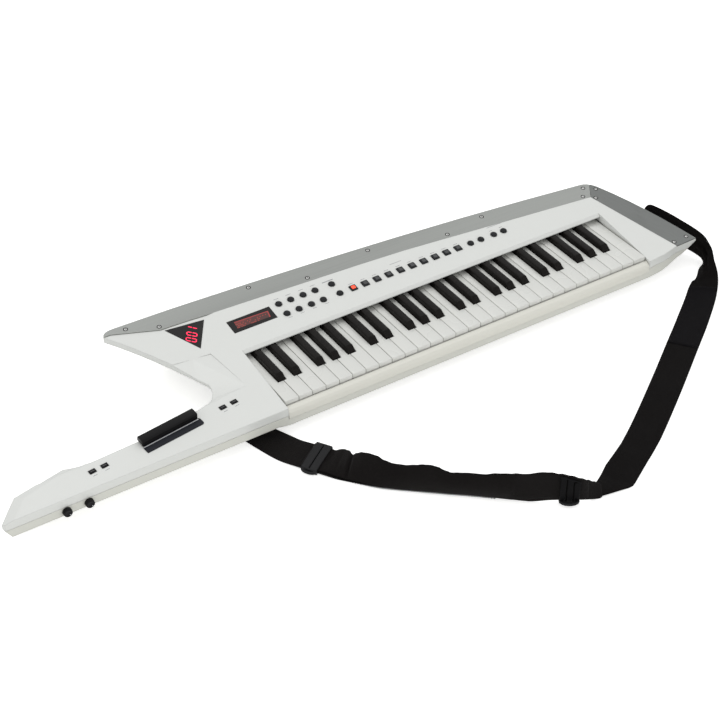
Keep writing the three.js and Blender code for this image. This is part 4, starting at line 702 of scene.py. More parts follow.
# Each bar is a box turned in the panel's plane, from a depth in the button to a rise above it
def makeNeckBars():
    for i, (x, up) in enumerate(neckBars["places"]):
        name = f"neck_button_{i + 1}"
        softEdges(name)
        top = aboveAt(name)
        outline = box4(x, up, neckBars["length"], neckBars["width"], neckBars["turn"])
        slabPiece(name + "_bar", [outline], top - neckBars["depth"], top + neckBars["rise"], inkDim,
                  bodyOf(name))


# Screws in the plates and under the bottom cover: a dome with a six-sided socket, and under each plate screw
# a flat black disc as painted shadow, in mm
screws = {"plate": {"radius": 2.7, "rise": 1.2, "base": 0.0},
          "under": {"radius": 3.2, "rise": 1.2, "base": 0.6},
          "power": 2.4, "skirt": 0.6, "sides": 36, "well": 3.9, "wellSpan": (-0.3, 0.08),
          "socketShares": (nearZero, 0.3, 0.46), "wallTop": 0.47, "domeSpan": (0.52, 1, 9),
          "rayFrom": 60.0, "spin": 6.2,
          "plates": [(-134.4, 229.2), (-87, 210), (76.5, 222.4), (169.9, 197.9), (289.9, 208.4),
                     (426.9, 179.8), (502.9, 190.1), (700.4, 169.9), (686.8, 152.2), (718.7, 157.9),
                     (704.3, 139.3), (750.3, -13.7), (777.2, -12.3)],
          "below": [(-401.8, 1.6, 20), (-199.8, 12.5, 16), (-13.6, 102.2, 18.7), (40.9, 232.8, 16),
                    (306.7, 221.9, 16), (579.3, 202.9, 16), (695.5, 69.6, 16)]}


# Domed head, height = base + rise (1 - share^power), with its socket sunk to the base
def screwHead(radius, rise, base):
    shares = np.array([*screws["socketShares"], screws["wallTop"], *np.linspace(*screws["domeSpan"])])
    level = np.where(shares < screws["wallTop"], 0, rise * (1 - shares ** screws["power"]))
    crown = np.stack([radius * shares, base + level], -1)[::-1]
    foot = base - screws["skirt"]
    profile = np.array([(nearZero, foot), (radius, foot), *crown])

    # Inside half the radius, a circle becomes a hexagon: r = r cos 30 / cos(angle from the side's middle)
    def hexagon(angles, height):
        corner = np.cos(math.pi / 6) / np.cos(np.mod(angles, math.pi / 3) - math.pi / 6)
        return np.where(profile[:, :1] < radius / 2, corner, 1.0)

    return turned(profile, screws["sides"], hexagon)


# Where a node's face lies under a panel place, and its normal, by a ray along the panel's normal
def surfaceAt(name, x, up):
    outward = Vector((0, -tiltSin, tiltCos))
    start = Vector(onPanel(x, up, screws["rayFrom"]).tolist())
    hit, place, normal, face = nodes[name].ray_cast(start, -outward)
    return (Vector(place), Vector(normal)) if hit else (None, None)


# Each plate screw: place = the face's point + head turned by a random spin, then from Z to the normal
def makeScrews():
    low, high = screws["wellSpan"]
    # A flat black disc round each plate screw's head: painted shadow
    well = turned([(nearZero, low), (screws["well"], low), (screws["well"], high), (nearZero, high)])
    head = screwHead(**screws["plate"])
    heads, wells = [], []
    for x, up in screws["plates"]:
        for plate in ("back_edge_plate", "end_edge_plate"):
            place, normal = surfaceAt(plate, x, up)
            if place is None:
                continue
            spin = Matrix.Rotation(rng.uniform(0, screws["spin"]), 3, "Z")
            turn = np.array(normal.to_track_quat("Z", "Y").to_matrix() @ spin).T
            heads.append(head * milli @ turn + np.array(place))
            wells.append(well * milli @ turn + np.array(place))
            break
    shellPiece("plate_screw_wells", wells, wellBlack, "instrument")
    shellPiece("plate_screws", heads, boltSteel, "instrument")
    print("plate screws:", len(heads))
    under = screwHead(**screws["under"]) * (1, -1, -1)
    originX, originY = panel["origin"][:2]
    shells = [(under + (x + originX, y + originY, level)) * milli for x, y, level in screws["below"]]
    shellPiece("underside_screws", shells, boltSteel, "instrument")


# Knobs: fluted caps on the neck's front face, each with a pale mark, in mm. The crown lists shares of the
# radius with their depths below the top
knobs = {"places": {"knob_left": -360.5, "knob_right": -326.5}, "level": -25.5, "back": -12.3, "radius": 7.0,
         "height": 7.0, "shaft": 2.8, "shaftEnd": -6.9, "foot": 0.5, "waist": (0.985, 2.5),
         "crown": [(0.96, 1.4), (0.93, 0.6), (0.85, 0.1), (0.7, 0), (0.6, 0.25), (0.3, 0.4)], "sides": 144,
         "flutes": 18, "fluteDepth": 0.075, "fluteFrom": (0.4, 0.8), "fluteTo": 0.7,
         "mark": -52.0, "markSpan": (3.0, 6.3), "markHalf": 0.5, "markSunk": 0.45, "markRise": 0.06}


# Cap profile along the axis; flutes: radius falls by the flutes' depth times |cos (9 a)|^3 of itself
def makeKnobs():
    radius, height, foot, shaft = (knobs[k] for k in ("radius", "height", "foot", "shaft"))
    inset = knobs["back"] - knobs["shaftEnd"]
    waist, waistLevel = knobs["waist"]
    profile = [(nearZero, inset), (shaft, inset), (shaft, 0), (radius - foot, 0), (radius, foot),
               (radius * waist, waistLevel), *((radius * r, height - h) for r, h in knobs["crown"]),
               (nearZero, height - knobs["crown"][-1][1])]

    def flutes(angles, level):
        begin, ramp = knobs["fluteFrom"]
        depth = np.clip((level - begin) / ramp, 0, 1) * np.clip((height - level) / knobs["fluteTo"], 0, 1)
        return 1 - depth * knobs["fluteDepth"] * np.abs(np.cos(angles * knobs["flutes"] / 2)) ** 3

    local = turned(profile, knobs["sides"], flutes)
    a = math.radians(knobs["mark"])
    along, side = np.array((math.cos(a), math.sin(a))), np.array((-math.sin(a), math.cos(a)))
    inner, outer = knobs["markSpan"]
    square = ((inner, -1), (outer, -1), (outer, 1), (inner, 1))
    corners = [along * r + side * s * knobs["markHalf"] for r, s in square]
    back = knobs["back"]
    levels = (back - height + knobs["markSunk"], back - height - knobs["markRise"])
    for name, x in knobs["places"].items():
        placed = np.stack([x + local[..., 0], back - local[..., 2], knobs["level"] + local[..., 1]], -1)
        knob = shellPiece(name + "_fluted", [fromKeys(placed)], controlBlack, bodyOf(name))
        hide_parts(name)
        block = [(x + u, y, knobs["level"] + v) for y in levels for u, v in corners]
        newPiece(name + "_mark", fromKeys(block), prismFaces(4), inkPale, bodyOf(name),
                 smooth=False)


# Displays: three red figures beside the triangle's edge, and the lit strip of the long display.
# A glyph has its centre, its height and its width as vectors (x, up), and the bars that are lit
figures = {"stroke": 1.7, "gap": 0.4, "tallShare": 0.86, "wideShare": 0.82, "point": 0.78, "rise": 0.12,
           "stripRise": 0.1, "depth": 0.2, "glyphs": [
               ((-56.7, 163.3), (-13.2, 12.8), (-4.2, -6.9), "abcdef"),
               ((-50.0, 173.7), (-13.2, 12.6), (-4.2, -6.9), "abcdef"),
               ((-42.4, 186.0), (-12.4, 13.2), (-0.1, -0.16), "bc")]}
litStrip = [(16.4, 149.6), (73.9, 148.3), (76.8, 161.8), (17.8, 164.3)]

# Bars of a seven-segment figure in its own square: place across, place upward, upright or not
segmentBars = {"a": (0, 1, False), "b": (0.5, 0.5, True), "c": (0.5, -0.5, True), "d": (0, -1, False),
               "e": (-0.5, -0.5, True), "f": (-0.5, 0.5, True)}


# Each bar: place = centre + across times u + upward times v, cut to points at both ends
def makeFigures():
    outlines = []
    for centre, tall, wide, shown in figures["glyphs"]:
        upward, across = np.array(tall) / 2, np.array(wide)
        height, width = np.linalg.norm(upward), np.linalg.norm(across)
        for key in shown:
            u, v, upright = segmentBars[key]
            middle = centre + across * u * figures["wideShare"] + upward * v * figures["tallShare"]
            long = upward / height if upright else across / width
            share = height * figures["tallShare"] if upright else width * figures["wideShare"]
            half, thick, point = share / 2 - figures["gap"], figures["stroke"] / 2, figures["point"]
            side = np.array((-long[1], long[0])) * thick
            ends = ((-1, 0), (-point, -1), (point, -1), (1, 0), (point, 1), (-point, 1))
            outlines.append([middle + long * half * s + side * t for s, t in ends])
    base = aboveAt("triangle_window")
    slabPiece("digit_segments", outlines, base - figures["depth"], base + figures["rise"], digitRed,
              "instrument")
    base = aboveAt("display_window")
    x, up = np.array(litStrip).T
    levels = (base - figures["depth"], base + figures["stripRise"])
    points = np.concatenate([onPanel(x, up, level) for level in levels])
    uv = np.array([(0, 0), (1, 0), (1, 1), (0, 1)] * 2)[np.concatenate(prismFaces(4))]
    newPiece("display_lit_strip", points, prismFaces(4), displayGlow, "instrument", uv=uv,
             smooth=False)


# Short plain bars by the buttons. Each row has its places, the step from them to the bar (x, up), the bar's
# length, its width in bars and its turn
ticks = {"rise": 0.06, "depth": 0.2, "width": 0.75, "rows": [
    (dome["places"]["round_buttons_upper"], (2, 12.0), 9.0, 1, 0),
    (dome["places"]["round_buttons_pair"][:1], (-2, 9.5), 20.0, 2, 0),
    (dome["places"]["round_buttons_lower"], (1, -9.5), 7.0, 1, 0),
    ([(x, squareButtons["up"]) for x in squareXs], (1, 10.5), 8.0, 1, 0),
    ([(313.0, squareButtons["up"])], (0, 19.0), 22.0, 1, 0),
    ([(508.0, squareButtons["up"])], (0, 19.0), 30.0, 1, 0),
    (dome["places"]["round_buttons_right"][2:], (1, 10.5), 6.0, 1, 0),
    (neckBars["places"], (0.5, -8.5), 7.0, 1, neckBars["turn"])]}


def makeTicks():
    outlines = [box4(x + dx, up + rise, length, ticks["width"] * bars, turn)
                for places, (dx, rise), length, bars, turn in ticks["rows"] for x, up in places]
    slabPiece("label_ticks", outlines, -ticks["depth"], ticks["rise"], inkGrey, "instrument")


# Ribbon and its bright trim, in their own frame beside the modulation bar, in mm
ribbon = {"origin": (-222.17, 0.0), "turn": 7.1, "length": 95.5, "middle": -6.3, "width": 13.4, "corner": 3.0,
          "longer": 3.0, "film": 0.25, "trim": (-2.1, -0.8), "trimRise": 0.6, "trimInset": 0.2, "depth": 1.5}


# Both outlines are turned about the ribbon's origin: place = origin + along (cos, sin) + out (-sin, cos)
def makeRibbon():
    turn = math.radians(ribbon["turn"])
    matrix = np.array([(math.cos(turn), math.sin(turn)), (-math.sin(turn), math.cos(turn))])
    length = ribbon["length"] + ribbon["longer"]
    film = roundedBox(length / 2, ribbon["middle"], length, ribbon["width"], ribbon["corner"])
    inset, (low, high) = ribbon["trimInset"], ribbon["trim"]
    far = ribbon["length"] - inset
    line = np.array([(inset, low), (far, low), (far, high), (inset, high)])
    top = aboveAt("ribbon_strip")
    for name, node, outline, rise, look, slot in (
            ("ribbon_film", "ribbon_strip", film, ribbon["film"], ribbonBlue, "touch_black"),
            ("ribbon_line", "ribbon_trim", line, ribbon["trimRise"], trimBright, "trim_silver")):
        placed = outline @ matrix + ribbon["origin"]
        strip = slabPiece(name, [placed], top - ribbon["depth"], top + rise, look, bodyOf(node))
        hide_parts(node)
    softEdges("modulation_bar")


makeDomes()
makeLenses()
makeNeckBars()
makeScrews()
makeKnobs()
makeFigures()
makeTicks()
makeRibbon()
print("panel pieces made")


# Webbing strap, along the same stations as the part's. Places and levels in mm, directions as unit vectors
strap = {"width": 50.0, "thickness": 1.9, "layerStep": 2.2, "keyboard": 681.5, "floor": -53.0,
         "neckPin": (-49.75, 77.76), "neckTop": -41.0, "endFoot": (760.1, 98.3),
         "endTangent": (-0.3298, 0.9440), "endAxis": (0.9440, 0.3298), "endStand": 15.0, "endLevel": -12.0,
         "stepsPerStation": 14, "sides": 9, "edgeSides": 4, "clearance": 0.1}

# From the neck's pin, as shares of the width: along the pin's line, and of the drop to the floor
strapStart = [(0.36, 0), (-0.1, 0), (-0.737, 0.97)]

# The route on the floor: x and y as shares of the keyboard, lift as a share of the width, roll in degrees,
# share of the width that shows, layers
strapShares = [
    (-0.098, 0.016, 0, 0, 1, 1), (-0.088, -0.019, 0, 0, 1, 1), (-0.069, -0.079, 0, 0, 1, 1),
    (-0.043, -0.13, 0.04, 0, 1, 2), (-0.016, -0.173, 0.04, 0, 1, 2), (0.009, -0.207, 0, 25, 1, 2),
    (0.034, -0.236, 0, 48, 1, 2), (0.067, -0.272, 0, 66, 1, 2), (0.117, -0.315, 0, 82, 1, 2),
    (0.164, -0.355, 0, 88, 1, 2), (0.227, -0.408, 0, 90, 1, 2), (0.266, -0.443, 0, 90, 1, 2),
    (0.303, -0.477, 0, 90, 1, 2), (0.34, -0.505, 0.09, 90, 1, 2), (0.393, -0.537, 0.09, 90, 1, 2),
    (0.433, -0.549, 0, 72, 1, 1.5), (0.472, -0.559, 0, 42, 1, 1), (0.514, -0.555, 0, 10, 1, 1),
    (0.58, -0.522, 0, 0, 1, 1), (0.656, -0.475, 0, 0, 1, 1), (0.8, -0.375, 0, 0, 1, 1),
    (0.936, -0.276, 0, 0, 1, 1), (1.026, -0.21, 0, 0, 1, 1), (1.118, -0.135, 0, 0, 0.95, 1),
    (1.153, -0.097, 0.06, -14, 0.85, 1), (1.17, -0.062, 0.3, -42, 0.7, 1),
    (1.188, -0.026, 0.62, -72, 0.72, 1), (1.186, -0.003, 0.92, -86, 0.85, 1)]

# To the end pin, as shares of the width: along the plate and below the strap's top there
strapEnd = [(-1.1, 0.13), (-0.4, 0.02), (0, 0), (0.36, 0)]

# Extra lean of the flat stretch before the near slider, in degrees, by station
lean = [(0.0, 0), (3.6, 0), (5.0, 6), (6.4, 7), (7.2, 4), (8.0, 0), (34.0, 0)]

# How far the upper edge of the doubled stretch hangs below its own width, in mm, by station
slack = [(5.0, 0), (6.75, 0), (7.15, -6), (7.5, -2), (7.9, 6), (8.35, 17), (8.6, 10), (8.95, 5.5), (9.3, 4.2),
         (9.75, 4.4), (10.1, 8), (10.4, 10.2), (10.75, 9.5), (11.1, 6), (11.4, 3.2), (11.65, 2), (11.9, 3.4),
         (12.1, 8), (12.25, 11), (12.45, 9.6), (12.7, 8.3), (13.1, 8.2), (13.6, 4.2), (14.15, 2.2),
         (14.6, -2.6), (15.4, -6), (15.9, -4), (16.25, 0), (16.6, 4), (16.9, 9), (17.25, 15), (17.65, 21),
         (18.0, 26), (18.3, 31), (34, 31)]


# Value at each reach of a table of (station, value), in cosine steps, so that no corner shows
def smoothTable(table, reach):
    at, value = np.array(table, float).T
    i = np.clip(np.searchsorted(at, reach) - 1, 0, len(at) - 2)
    share = np.clip((reach - at[i]) / (at[i + 1] - at[i]), 0, 1)
    return value[i] + (value[i + 1] - value[i]) * (1 - np.cos(share * math.pi)) / 2


# Right-hand edge (x, y, z) and shape (roll, width, thickness) of each station, in mm. A rolled station is
# lifted by half its thickness times cos roll
def strapStations():
    width, step, floor = strap["width"], strap["layerStep"], strap["floor"]
    edges, shapes = [], []
    for along, drop in strapStart:
        x, y = strap["neckPin"]
        level = strap["neckTop"] + (floor + step / 2 - strap["neckTop"]) * drop
        edges.append((x - width / 2, y + along * width, level))
        shapes.append((0.0, width, step))
    for x, y, lift, roll, share, layers in strapShares:
        turn = math.radians(roll)
        level = floor + lift * width + step * layers / 2 * math.cos(turn)
        edges.append((x * strap["keyboard"], y * strap["keyboard"], level))
        shapes.append((turn, share * width, step * layers))
    foot, tangent, axis = (np.array(strap[k]) for k in ("endFoot", "endTangent", "endAxis"))
    for along, drop in strapEnd:
        x, y = foot + axis * strap["endStand"] + tangent * along * width
        edges.append((x, y, strap["endLevel"] + width / 2 - drop * width))
        shapes.append((-math.pi / 2, width, step))
    return np.array(edges), np.array(shapes)


# Centripetal curve through points: cubic Hermite whose tangents use square roots of the distances
def curveThrough(points, reach):
    padded = np.concatenate([[2 * points[0] - points[1]], points, [2 * points[-1] - points[-2]]])
    first = np.clip(np.floor(reach).astype(int), 0, len(points) - 2)
    share = (reach - first)[:, None]
    a, b, c, d = (padded[first + k] for k in range(4))
    steps = ((a, b), (b, c), (c, d))
    before, here, after = (np.sqrt(np.linalg.norm(q - p, axis=1))[:, None] for p, q in steps)
    leaving = ((b - a) / before - (c - a) / (before + here) + (c - b) / here) * here
    arriving = ((c - b) / here - (d - b) / (here + after) + (d - c) / after) * here
    return (b + leaving * share + (3 * (c - b) - 2 * leaving - arriving) * share ** 2
            + (2 * (b - c) + leaving + arriving) * share ** 3)


# Rows of vectors, each divided by its own length
def unit(vectors):
    return vectors / np.linalg.norm(vectors, axis=1)[:, None]


# Edge, tangent, across, face normal, width and thickness at each reach, from 0 to the last station.
# Across = leftward cos roll + up sin roll, normal = tangent x across, and no edge lies below the floor
def strapFrames(reach):
    edges, shapes = strapStations()
    edge = curveThrough(edges, reach)
    last = len(edges) - 1
    nudge = 0.01  # of a station, to either side for the tangent
    tangent = unit(curveThrough(edges, np.minimum(reach + nudge, last))
                   - curveThrough(edges, np.maximum(reach - nudge, 0)))
    roll, width, thickness = (np.interp(reach, np.arange(last + 1), shapes[:, k]) for k in range(3))
    roll = roll + np.radians(smoothTable(lean, reach))
    leftward = unit(np.stack([-tangent[:, 1], tangent[:, 0], 0 * roll], -1))
    across = leftward * np.cos(roll)[:, None] + np.array((0, 0, 1.0)) * np.sin(roll)[:, None]
    normal = unit(np.cross(tangent, across))
    lowest = strap["floor"] + np.abs(normal[:, 2]) * thickness / 2
    edge[:, 2] = np.maximum(edge[:, 2], np.maximum(lowest, lowest - across[:, 2] * width))
    return edge, tangent, across, normal, width, thickness


# Even steps from one station to another, as many to each station as the strap says
def stationSteps(first, last):
    return np.linspace(first, last, int((last - first) * strap["stepsPerStation"]) + 1)


# Where the webbing turns over on the floor: its two edges, as shares of the keyboard's width, and its height
# in mm. The rows are a share of a station apart and cut into finer ones, up to the station where they join
turnover = {"station": 19.0, "stationShare": 0.3, "finer": 6, "joins": 22.0, "ends": 33.38, "rows": [
    (0.409, -0.542, 0.455, -0.508, 3.4), (0.431, -0.5475, 0.4585, -0.506, 3.2),
    (0.455, -0.5515, 0.4625, -0.5035, 2.8), (0.482, -0.5553, 0.467, -0.5005, 2.2),
    (0.503, -0.5583, 0.4725, -0.497, 1.6), (0.513, -0.5575, 0.4785, -0.493, 1.2),
    (0.522, -0.5535, 0.487, -0.4875, 1.1), (0.545, -0.54, 0.507, -0.474, 1.1),
    (0.58, -0.5195, 0.5415, -0.4565, 1.1), (0.617, -0.4985, 0.578, -0.4375, 1.1)]}


# Rows between the two edges, place = near (1 - share) + next share, and then the stations' own frames
def turnoverFrames():
    rows = np.array(turnover["rows"])
    level = rows[:, 4:] + strap["floor"]
    right, left = (np.hstack([rows[:, k:k + 2] * strap["keyboard"], level]) for k in (0, 2))
    fine = np.linspace(0, len(rows) - 1, (len(rows) - 1) * turnover["finer"] + 1)
    near = np.minimum(fine.astype(int), len(rows) - 2)
    share = (fine - near)[:, None]
    right, left = (side[near] * (1 - share) + side[near + 1] * share for side in (right, left))
    later = stationSteps(turnover["joins"], turnover["ends"])
    edge, tangent, across, normal, width, thickness = strapFrames(later)
    reach = np.concatenate([turnover["station"] + fine * turnover["stationShare"], later])
    size = np.linalg.norm(left - right, axis=1)
    rowFrames = (right, unit(left - right), np.tile((0.0, 0.0, 1.0), (len(fine), 1)), size,
                 np.full(len(fine), strap["layerStep"]))
    laterFrames = (edge, across, normal, width, thickness)
    return reach, [np.concatenate(pair) for pair in zip(rowFrames, laterFrames)]


# Runs of webbing: stations, layer (1 over, -1 under), share of the slack that the upper edge follows, height
# of the ripples, share cut from both edges and from the lower one, radius of the tip, thickness and lift
plainRun = {"span": None, "layer": 0, "follow": 0.0, "waves": 0.7, "inset": 0.0, "under": 0.0, "tip": 0.0,
            "thickness": strap["thickness"], "lift": 0.0, "look": webbingBlack, "rests": ["paleFloor"]}
runs = {
    "strap_webbing_body": {**plainRun, "span": (0.0, 18.1), "layer": -1, "follow": 1.0, "tip": 6.0},
    "strap_webbing_second": {**plainRun, "span": (5.95, 17.3), "layer": 1, "follow": 1.0, "waves": 0.9,
                             "under": 0.06},
    "strap_webbing_end": {**plainRun, "tip": 14.0, "look": webbingFlatShaded,
                          "rests": ["paleFloor", "strap_pin_end"]},
    "strap_patch": {**plainRun, "span": (24.0, 26.3), "inset": 0.04, "thickness": 0.7, "lift": 1.1,
                    "look": patchBlack, "rests": None},
}

# Forms of the laid webbing, in mm, with the stations where they sit. A stretch counts as upright from a
# share of its rise on, and a flat one has a share of the ripples
folds = {"uprightGain": 1.4, "uprightFrom": 0.2, "flatShare": 0.4, "bowShare": 0.6, "deepestBow": 5.0,
         "bowEnds": 16.1, "bowFades": 0.4, "rippleLengths": (31, 83), "pleatStation": 29.2,
         "pleatSpread": 1.5, "pleatBelow": 48, "pleatDepth": 4.6, "pleats": 5, "pleatDrift": 60,
         "grooveStation": 8.35, "grooveSpread": 0.1, "grooveDepth": 5.0}


# Closed section of a ribbon with round edges: share across, -1..1 up, share of the radius out past the edge
def ribbonSection():
    sides, edgeSides = strap["sides"], strap["edgeSides"]
    shares, flat = np.linspace(0, 1, sides), np.zeros(sides)
    arc = np.linspace(-math.pi / 2, math.pi / 2, edgeSides + 2)[1:-1]
    upper = np.stack([shares, flat + 1, flat], -1)
    right = np.stack([np.ones(edgeSides), -np.sin(arc), np.cos(arc)], -1)
    lower = np.stack([shares[::-1], flat - 1, flat], -1)
    left = np.stack([np.zeros(edgeSides), np.sin(arc), -np.cos(arc)], -1)
    return np.concatenate([upper, right, lower, left])


# 1 at a station, falling off over a spread of stations: exp(-((reach - station) / spread)^2)
def bell(reach, station, spread):
    return np.exp(-((reach - station) / spread) ** 2)


# One layer of webbing: place = edge + across times the chord + normal times how far it stands out.
# Bow = 0.6 sqrt(3/8 slack width) sin(pi share) for the width that hangs down, ripples = sin sin of the
# length, pleats and a groove are bells along it, and a tip of radius r is cut back by r - sqrt(r^2 - d^2)
# where d is how far it reaches into the last r of the length
def ribbonPiece(name):
    own = runs[name]
    if own["span"]:
        reach = stationSteps(*own["span"])
        edge, tangent, across, normal, width, thickness = strapFrames(reach)
    else:
        reach, (edge, across, normal, width, thickness) = turnoverFrames()
    section = ribbonSection()
    share, up, out = section[None, :, 0], section[None, :, 1], section[None, :, 2]
    layer, tip, under, inset = (own[key] for key in ("layer", "tip", "under", "inset"))
    half = own["thickness"] / 2
    middle = edge + across * width[:, None] / 2
    along = np.concatenate([[0], np.cumsum(np.linalg.norm(np.diff(middle, axis=0), axis=1))])

    # The slack hangs where it is above 0, and lifts the upper layer where it is below
    drop = smoothTable(slack, reach) * own["follow"]
    upright = np.clip(np.abs(across[:, 2]) * folds["uprightGain"] - folds["uprightFrom"], 0, 1)
    hang = np.maximum(drop, 0) * upright
    raised = np.maximum(-drop, 0) * upright * (layer > 0)
    bow = np.minimum(np.sqrt(3 / 8 * hang * width) * folds["bowShare"], folds["deepestBow"])
    bow = bow * (layer or 1) * np.clip((folds["bowEnds"] - reach) / folds["bowFades"], 0, 1)

    # Share across the chord, inside the round edges, the trims and the tip
    bodyShare = half / width[:, None]
    place = bodyShare + share * (1 - 2 * bodyShare) + out * bodyShare
    inside = np.minimum(np.maximum(tip - (along[-1] - along), 0), 0.97 * tip)
    cut = ((tip - np.sqrt(tip ** 2 - inside ** 2)) / width)[:, None]
    place = inset + under + cut + place * (1 - 2 * inset - under - 2 * cut)

    column, (shortWave, longWave) = along[:, None], folds["rippleLengths"]
    arch = np.sin(share * math.pi)
    ripple = own["waves"] * np.sin(column / shortWave + 2 * share) * np.sin(column / longWave + 1)
    pleats = bell(reach, folds["pleatStation"], folds["pleatSpread"]) * (width < folds["pleatBelow"])
    pleats = folds["pleatDepth"] * pleats[:, None] * arch * np.sin(
        share * math.pi * folds["pleats"] + column / folds["pleatDrift"])
    groove = bell(reach, folds["grooveStation"], folds["grooveSpread"]) * (layer > 0)
    groove = folds["grooveDepth"] * groove[:, None] * np.sqrt(np.abs(arch))
    doubled = np.clip(thickness / strap["layerStep"] - 1, 0, 1)[:, None] * strap["layerStep"] / 2
    stand = layer * doubled + up * half + own["lift"] + bow[:, None] * np.sin(place * math.pi) - groove
    stand = stand + (ripple + pleats) * (folds["flatShare"] + (1 - folds["flatShare"]) * upright[:, None])

    chord = (width - hang)[:, None]
    points = edge[:, None] + across[:, None] * (place * chord)[..., None] + normal[:, None] * stand[..., None]
    points[..., 2] += raised[:, None]
    low = points[..., 2].min(axis=1)
    points[..., 2] += np.maximum(strap["floor"] + strap["clearance"] - low, 0)[:, None]

    # The UV map measures metres round the section and along the strap
    rows, columns = place.shape
    ring = np.concatenate([[0], np.cumsum(np.hypot(np.diff(place[0], append=place[0, 0]) * strap["width"],
                                                   np.diff(up[0], append=up[0, 0]) * half))])
    i, j = np.divmod(np.arange((rows - 1) * columns), columns)
    square = ((0, 0), (1, 0), (1, 1), (0, 1))
    corners = np.stack([np.stack([ring[j + a], along[i + b]], -1) for a, b in square], 1)
    uv = np.concatenate([corners.reshape(-1, 2), np.zeros((2 * columns, 2))]) * milli
    piece = newPiece(name, fromKeys(points), tubeFaces(rows, columns), own["look"], "instrument",
                     uv=uv)
    return piece


# Stitches along the lower edge of the doubled webbing, in mm: a small bead each
stitches = {"first": 7.0, "last": 13.6, "pitch": 4.0, "length": 1.5, "radius": 1.2, "out": 1.76,
            "rings": 7, "sides": 8, "poleGap": 0.05}


# Beads: place = edge + tangent (length cos a) + normal (radius sin a cos b) + up (radius sin a sin b)
def makeStitches():
    length, radius, gap, sides = (stitches[k] for k in ("length", "radius", "poleGap", "sides"))
    reach = stationSteps(stitches["first"], stitches["last"])
    edge, tangent, across, normal, width, thickness = strapFrames(reach)
    along = np.concatenate([[0], np.cumsum(np.linalg.norm(np.diff(edge, axis=0), axis=1))])
    at = np.arange(0, along[-1], stitches["pitch"])
    foot, heading, outward = (np.stack([np.interp(at, along, v[:, k]) for k in range(3)], -1) for v in (
        edge, tangent, normal))
    foot = foot + outward * stitches["out"]
    foot[:, 2] = np.maximum(foot[:, 2], strap["floor"] + radius + strap["clearance"])
    polar, around = np.meshgrid(np.linspace(gap, math.pi - gap, stitches["rings"]),
                                np.arange(sides) * 2 * math.pi / sides, indexing="ij")
    bead = np.stack([length * np.cos(polar), radius * np.sin(polar) * np.cos(around),
                     radius * np.sin(polar) * np.sin(around)], -1)
    axes = np.stack([heading, outward, np.tile((0, 0, 1.0), (len(at), 1))], 1)
    shells = [fromKeys(bead @ turn + place) for turn, place in zip(axes, foot)]
    shellPiece("strap_edge_stitches", shells, webbingBlack, "instrument")


# Sliders: bars over the webbing between two rails, and a loop at the lower end. The upper rail stands
# beyond the webbing's edge, and falls from bar to bar, in mm
sliders = {
    "strap_slider_near": {"station": 6.42, "look": nylonGrey, "length": 26.0, "bars": 2, "wide": 12.0,
                          "topRim": 1.4, "fall": 0.0, "loopUp": False, "loopFrom": 2.0, "loopOut": 4.6},
    "strap_slider_far": {"station": 16.56, "look": nylonBlack, "length": 29.0, "bars": 3, "wide": 8.4,
                         "topRim": -1.2, "fall": 11.0, "loopUp": True, "loopFrom": 4.0, "loopOut": 7.6},
}

# What both share, in mm: room round the webbing, the rails' size, the flat cap in place of an upper rail,
# the bars over and under the webbing, the loop, and the ends of every bar as (distance, share of the size)
slider = {"rim": 2.4, "room": 0.8, "rail": 3.4, "railMore": 2.6, "railInset": 1.2, "cap": (2.4, 1.5, 0.9),
          "rise": 1.8, "barGap": 0.3, "barFoot": 1.0, "barHead": 1.4, "under": (4.4, 1.2, 2.4),
          "loopInset": 2.2, "loopRadius": 2.4, "loopSteps": 15, "loopSides": 12, "floorGap": 0.05,
          "rounding": 0.45, "sides": 20, "ends": [(0.0, 0.55), (0.25, 0.85), (0.8, 1.0)]}


# A bar between two places, its section a superellipse |u|^n + |v|^n = 1, with drawn-in ends
def roundBar(start, end, wide, tall, up):
    reach = np.linalg.norm(end - start)
    axis = (end - start) / reach
    side = np.cross(axis, up)
    angles = np.arange(slider["sides"]) * 2 * math.pi / slider["sides"]
    u, v = (np.sign(wave) * np.abs(wave) ** slider["rounding"] for wave in (np.cos(angles), np.sin(angles)))
    outline = u[:, None] * side * wide / 2 + v[:, None] * up * tall / 2
    ends = slider["ends"]
    stations = ends + [(reach - d, s) for d, s in ends[::-1]]
    return np.stack([start + axis * d + outline * s for d, s in stations])


# A half ring with its ends on the rail: path = base + along cos a + outward sin a, in a round tube
def sliderLoop(base, along, outward, third):
    angles = np.linspace(0, math.pi, slider["loopSteps"])[:, None]
    path = base + np.cos(angles) * along + np.sin(angles) * outward
    around = (np.arange(slider["loopSides"]) * 2 * math.pi / slider["loopSides"])[None, :, None]
    sideways = np.cross(unit(np.gradient(path, axis=0)), third)[:, None]
    return path[:, None] + slider["loopRadius"] * (sideways * np.cos(around) + third * np.sin(around))


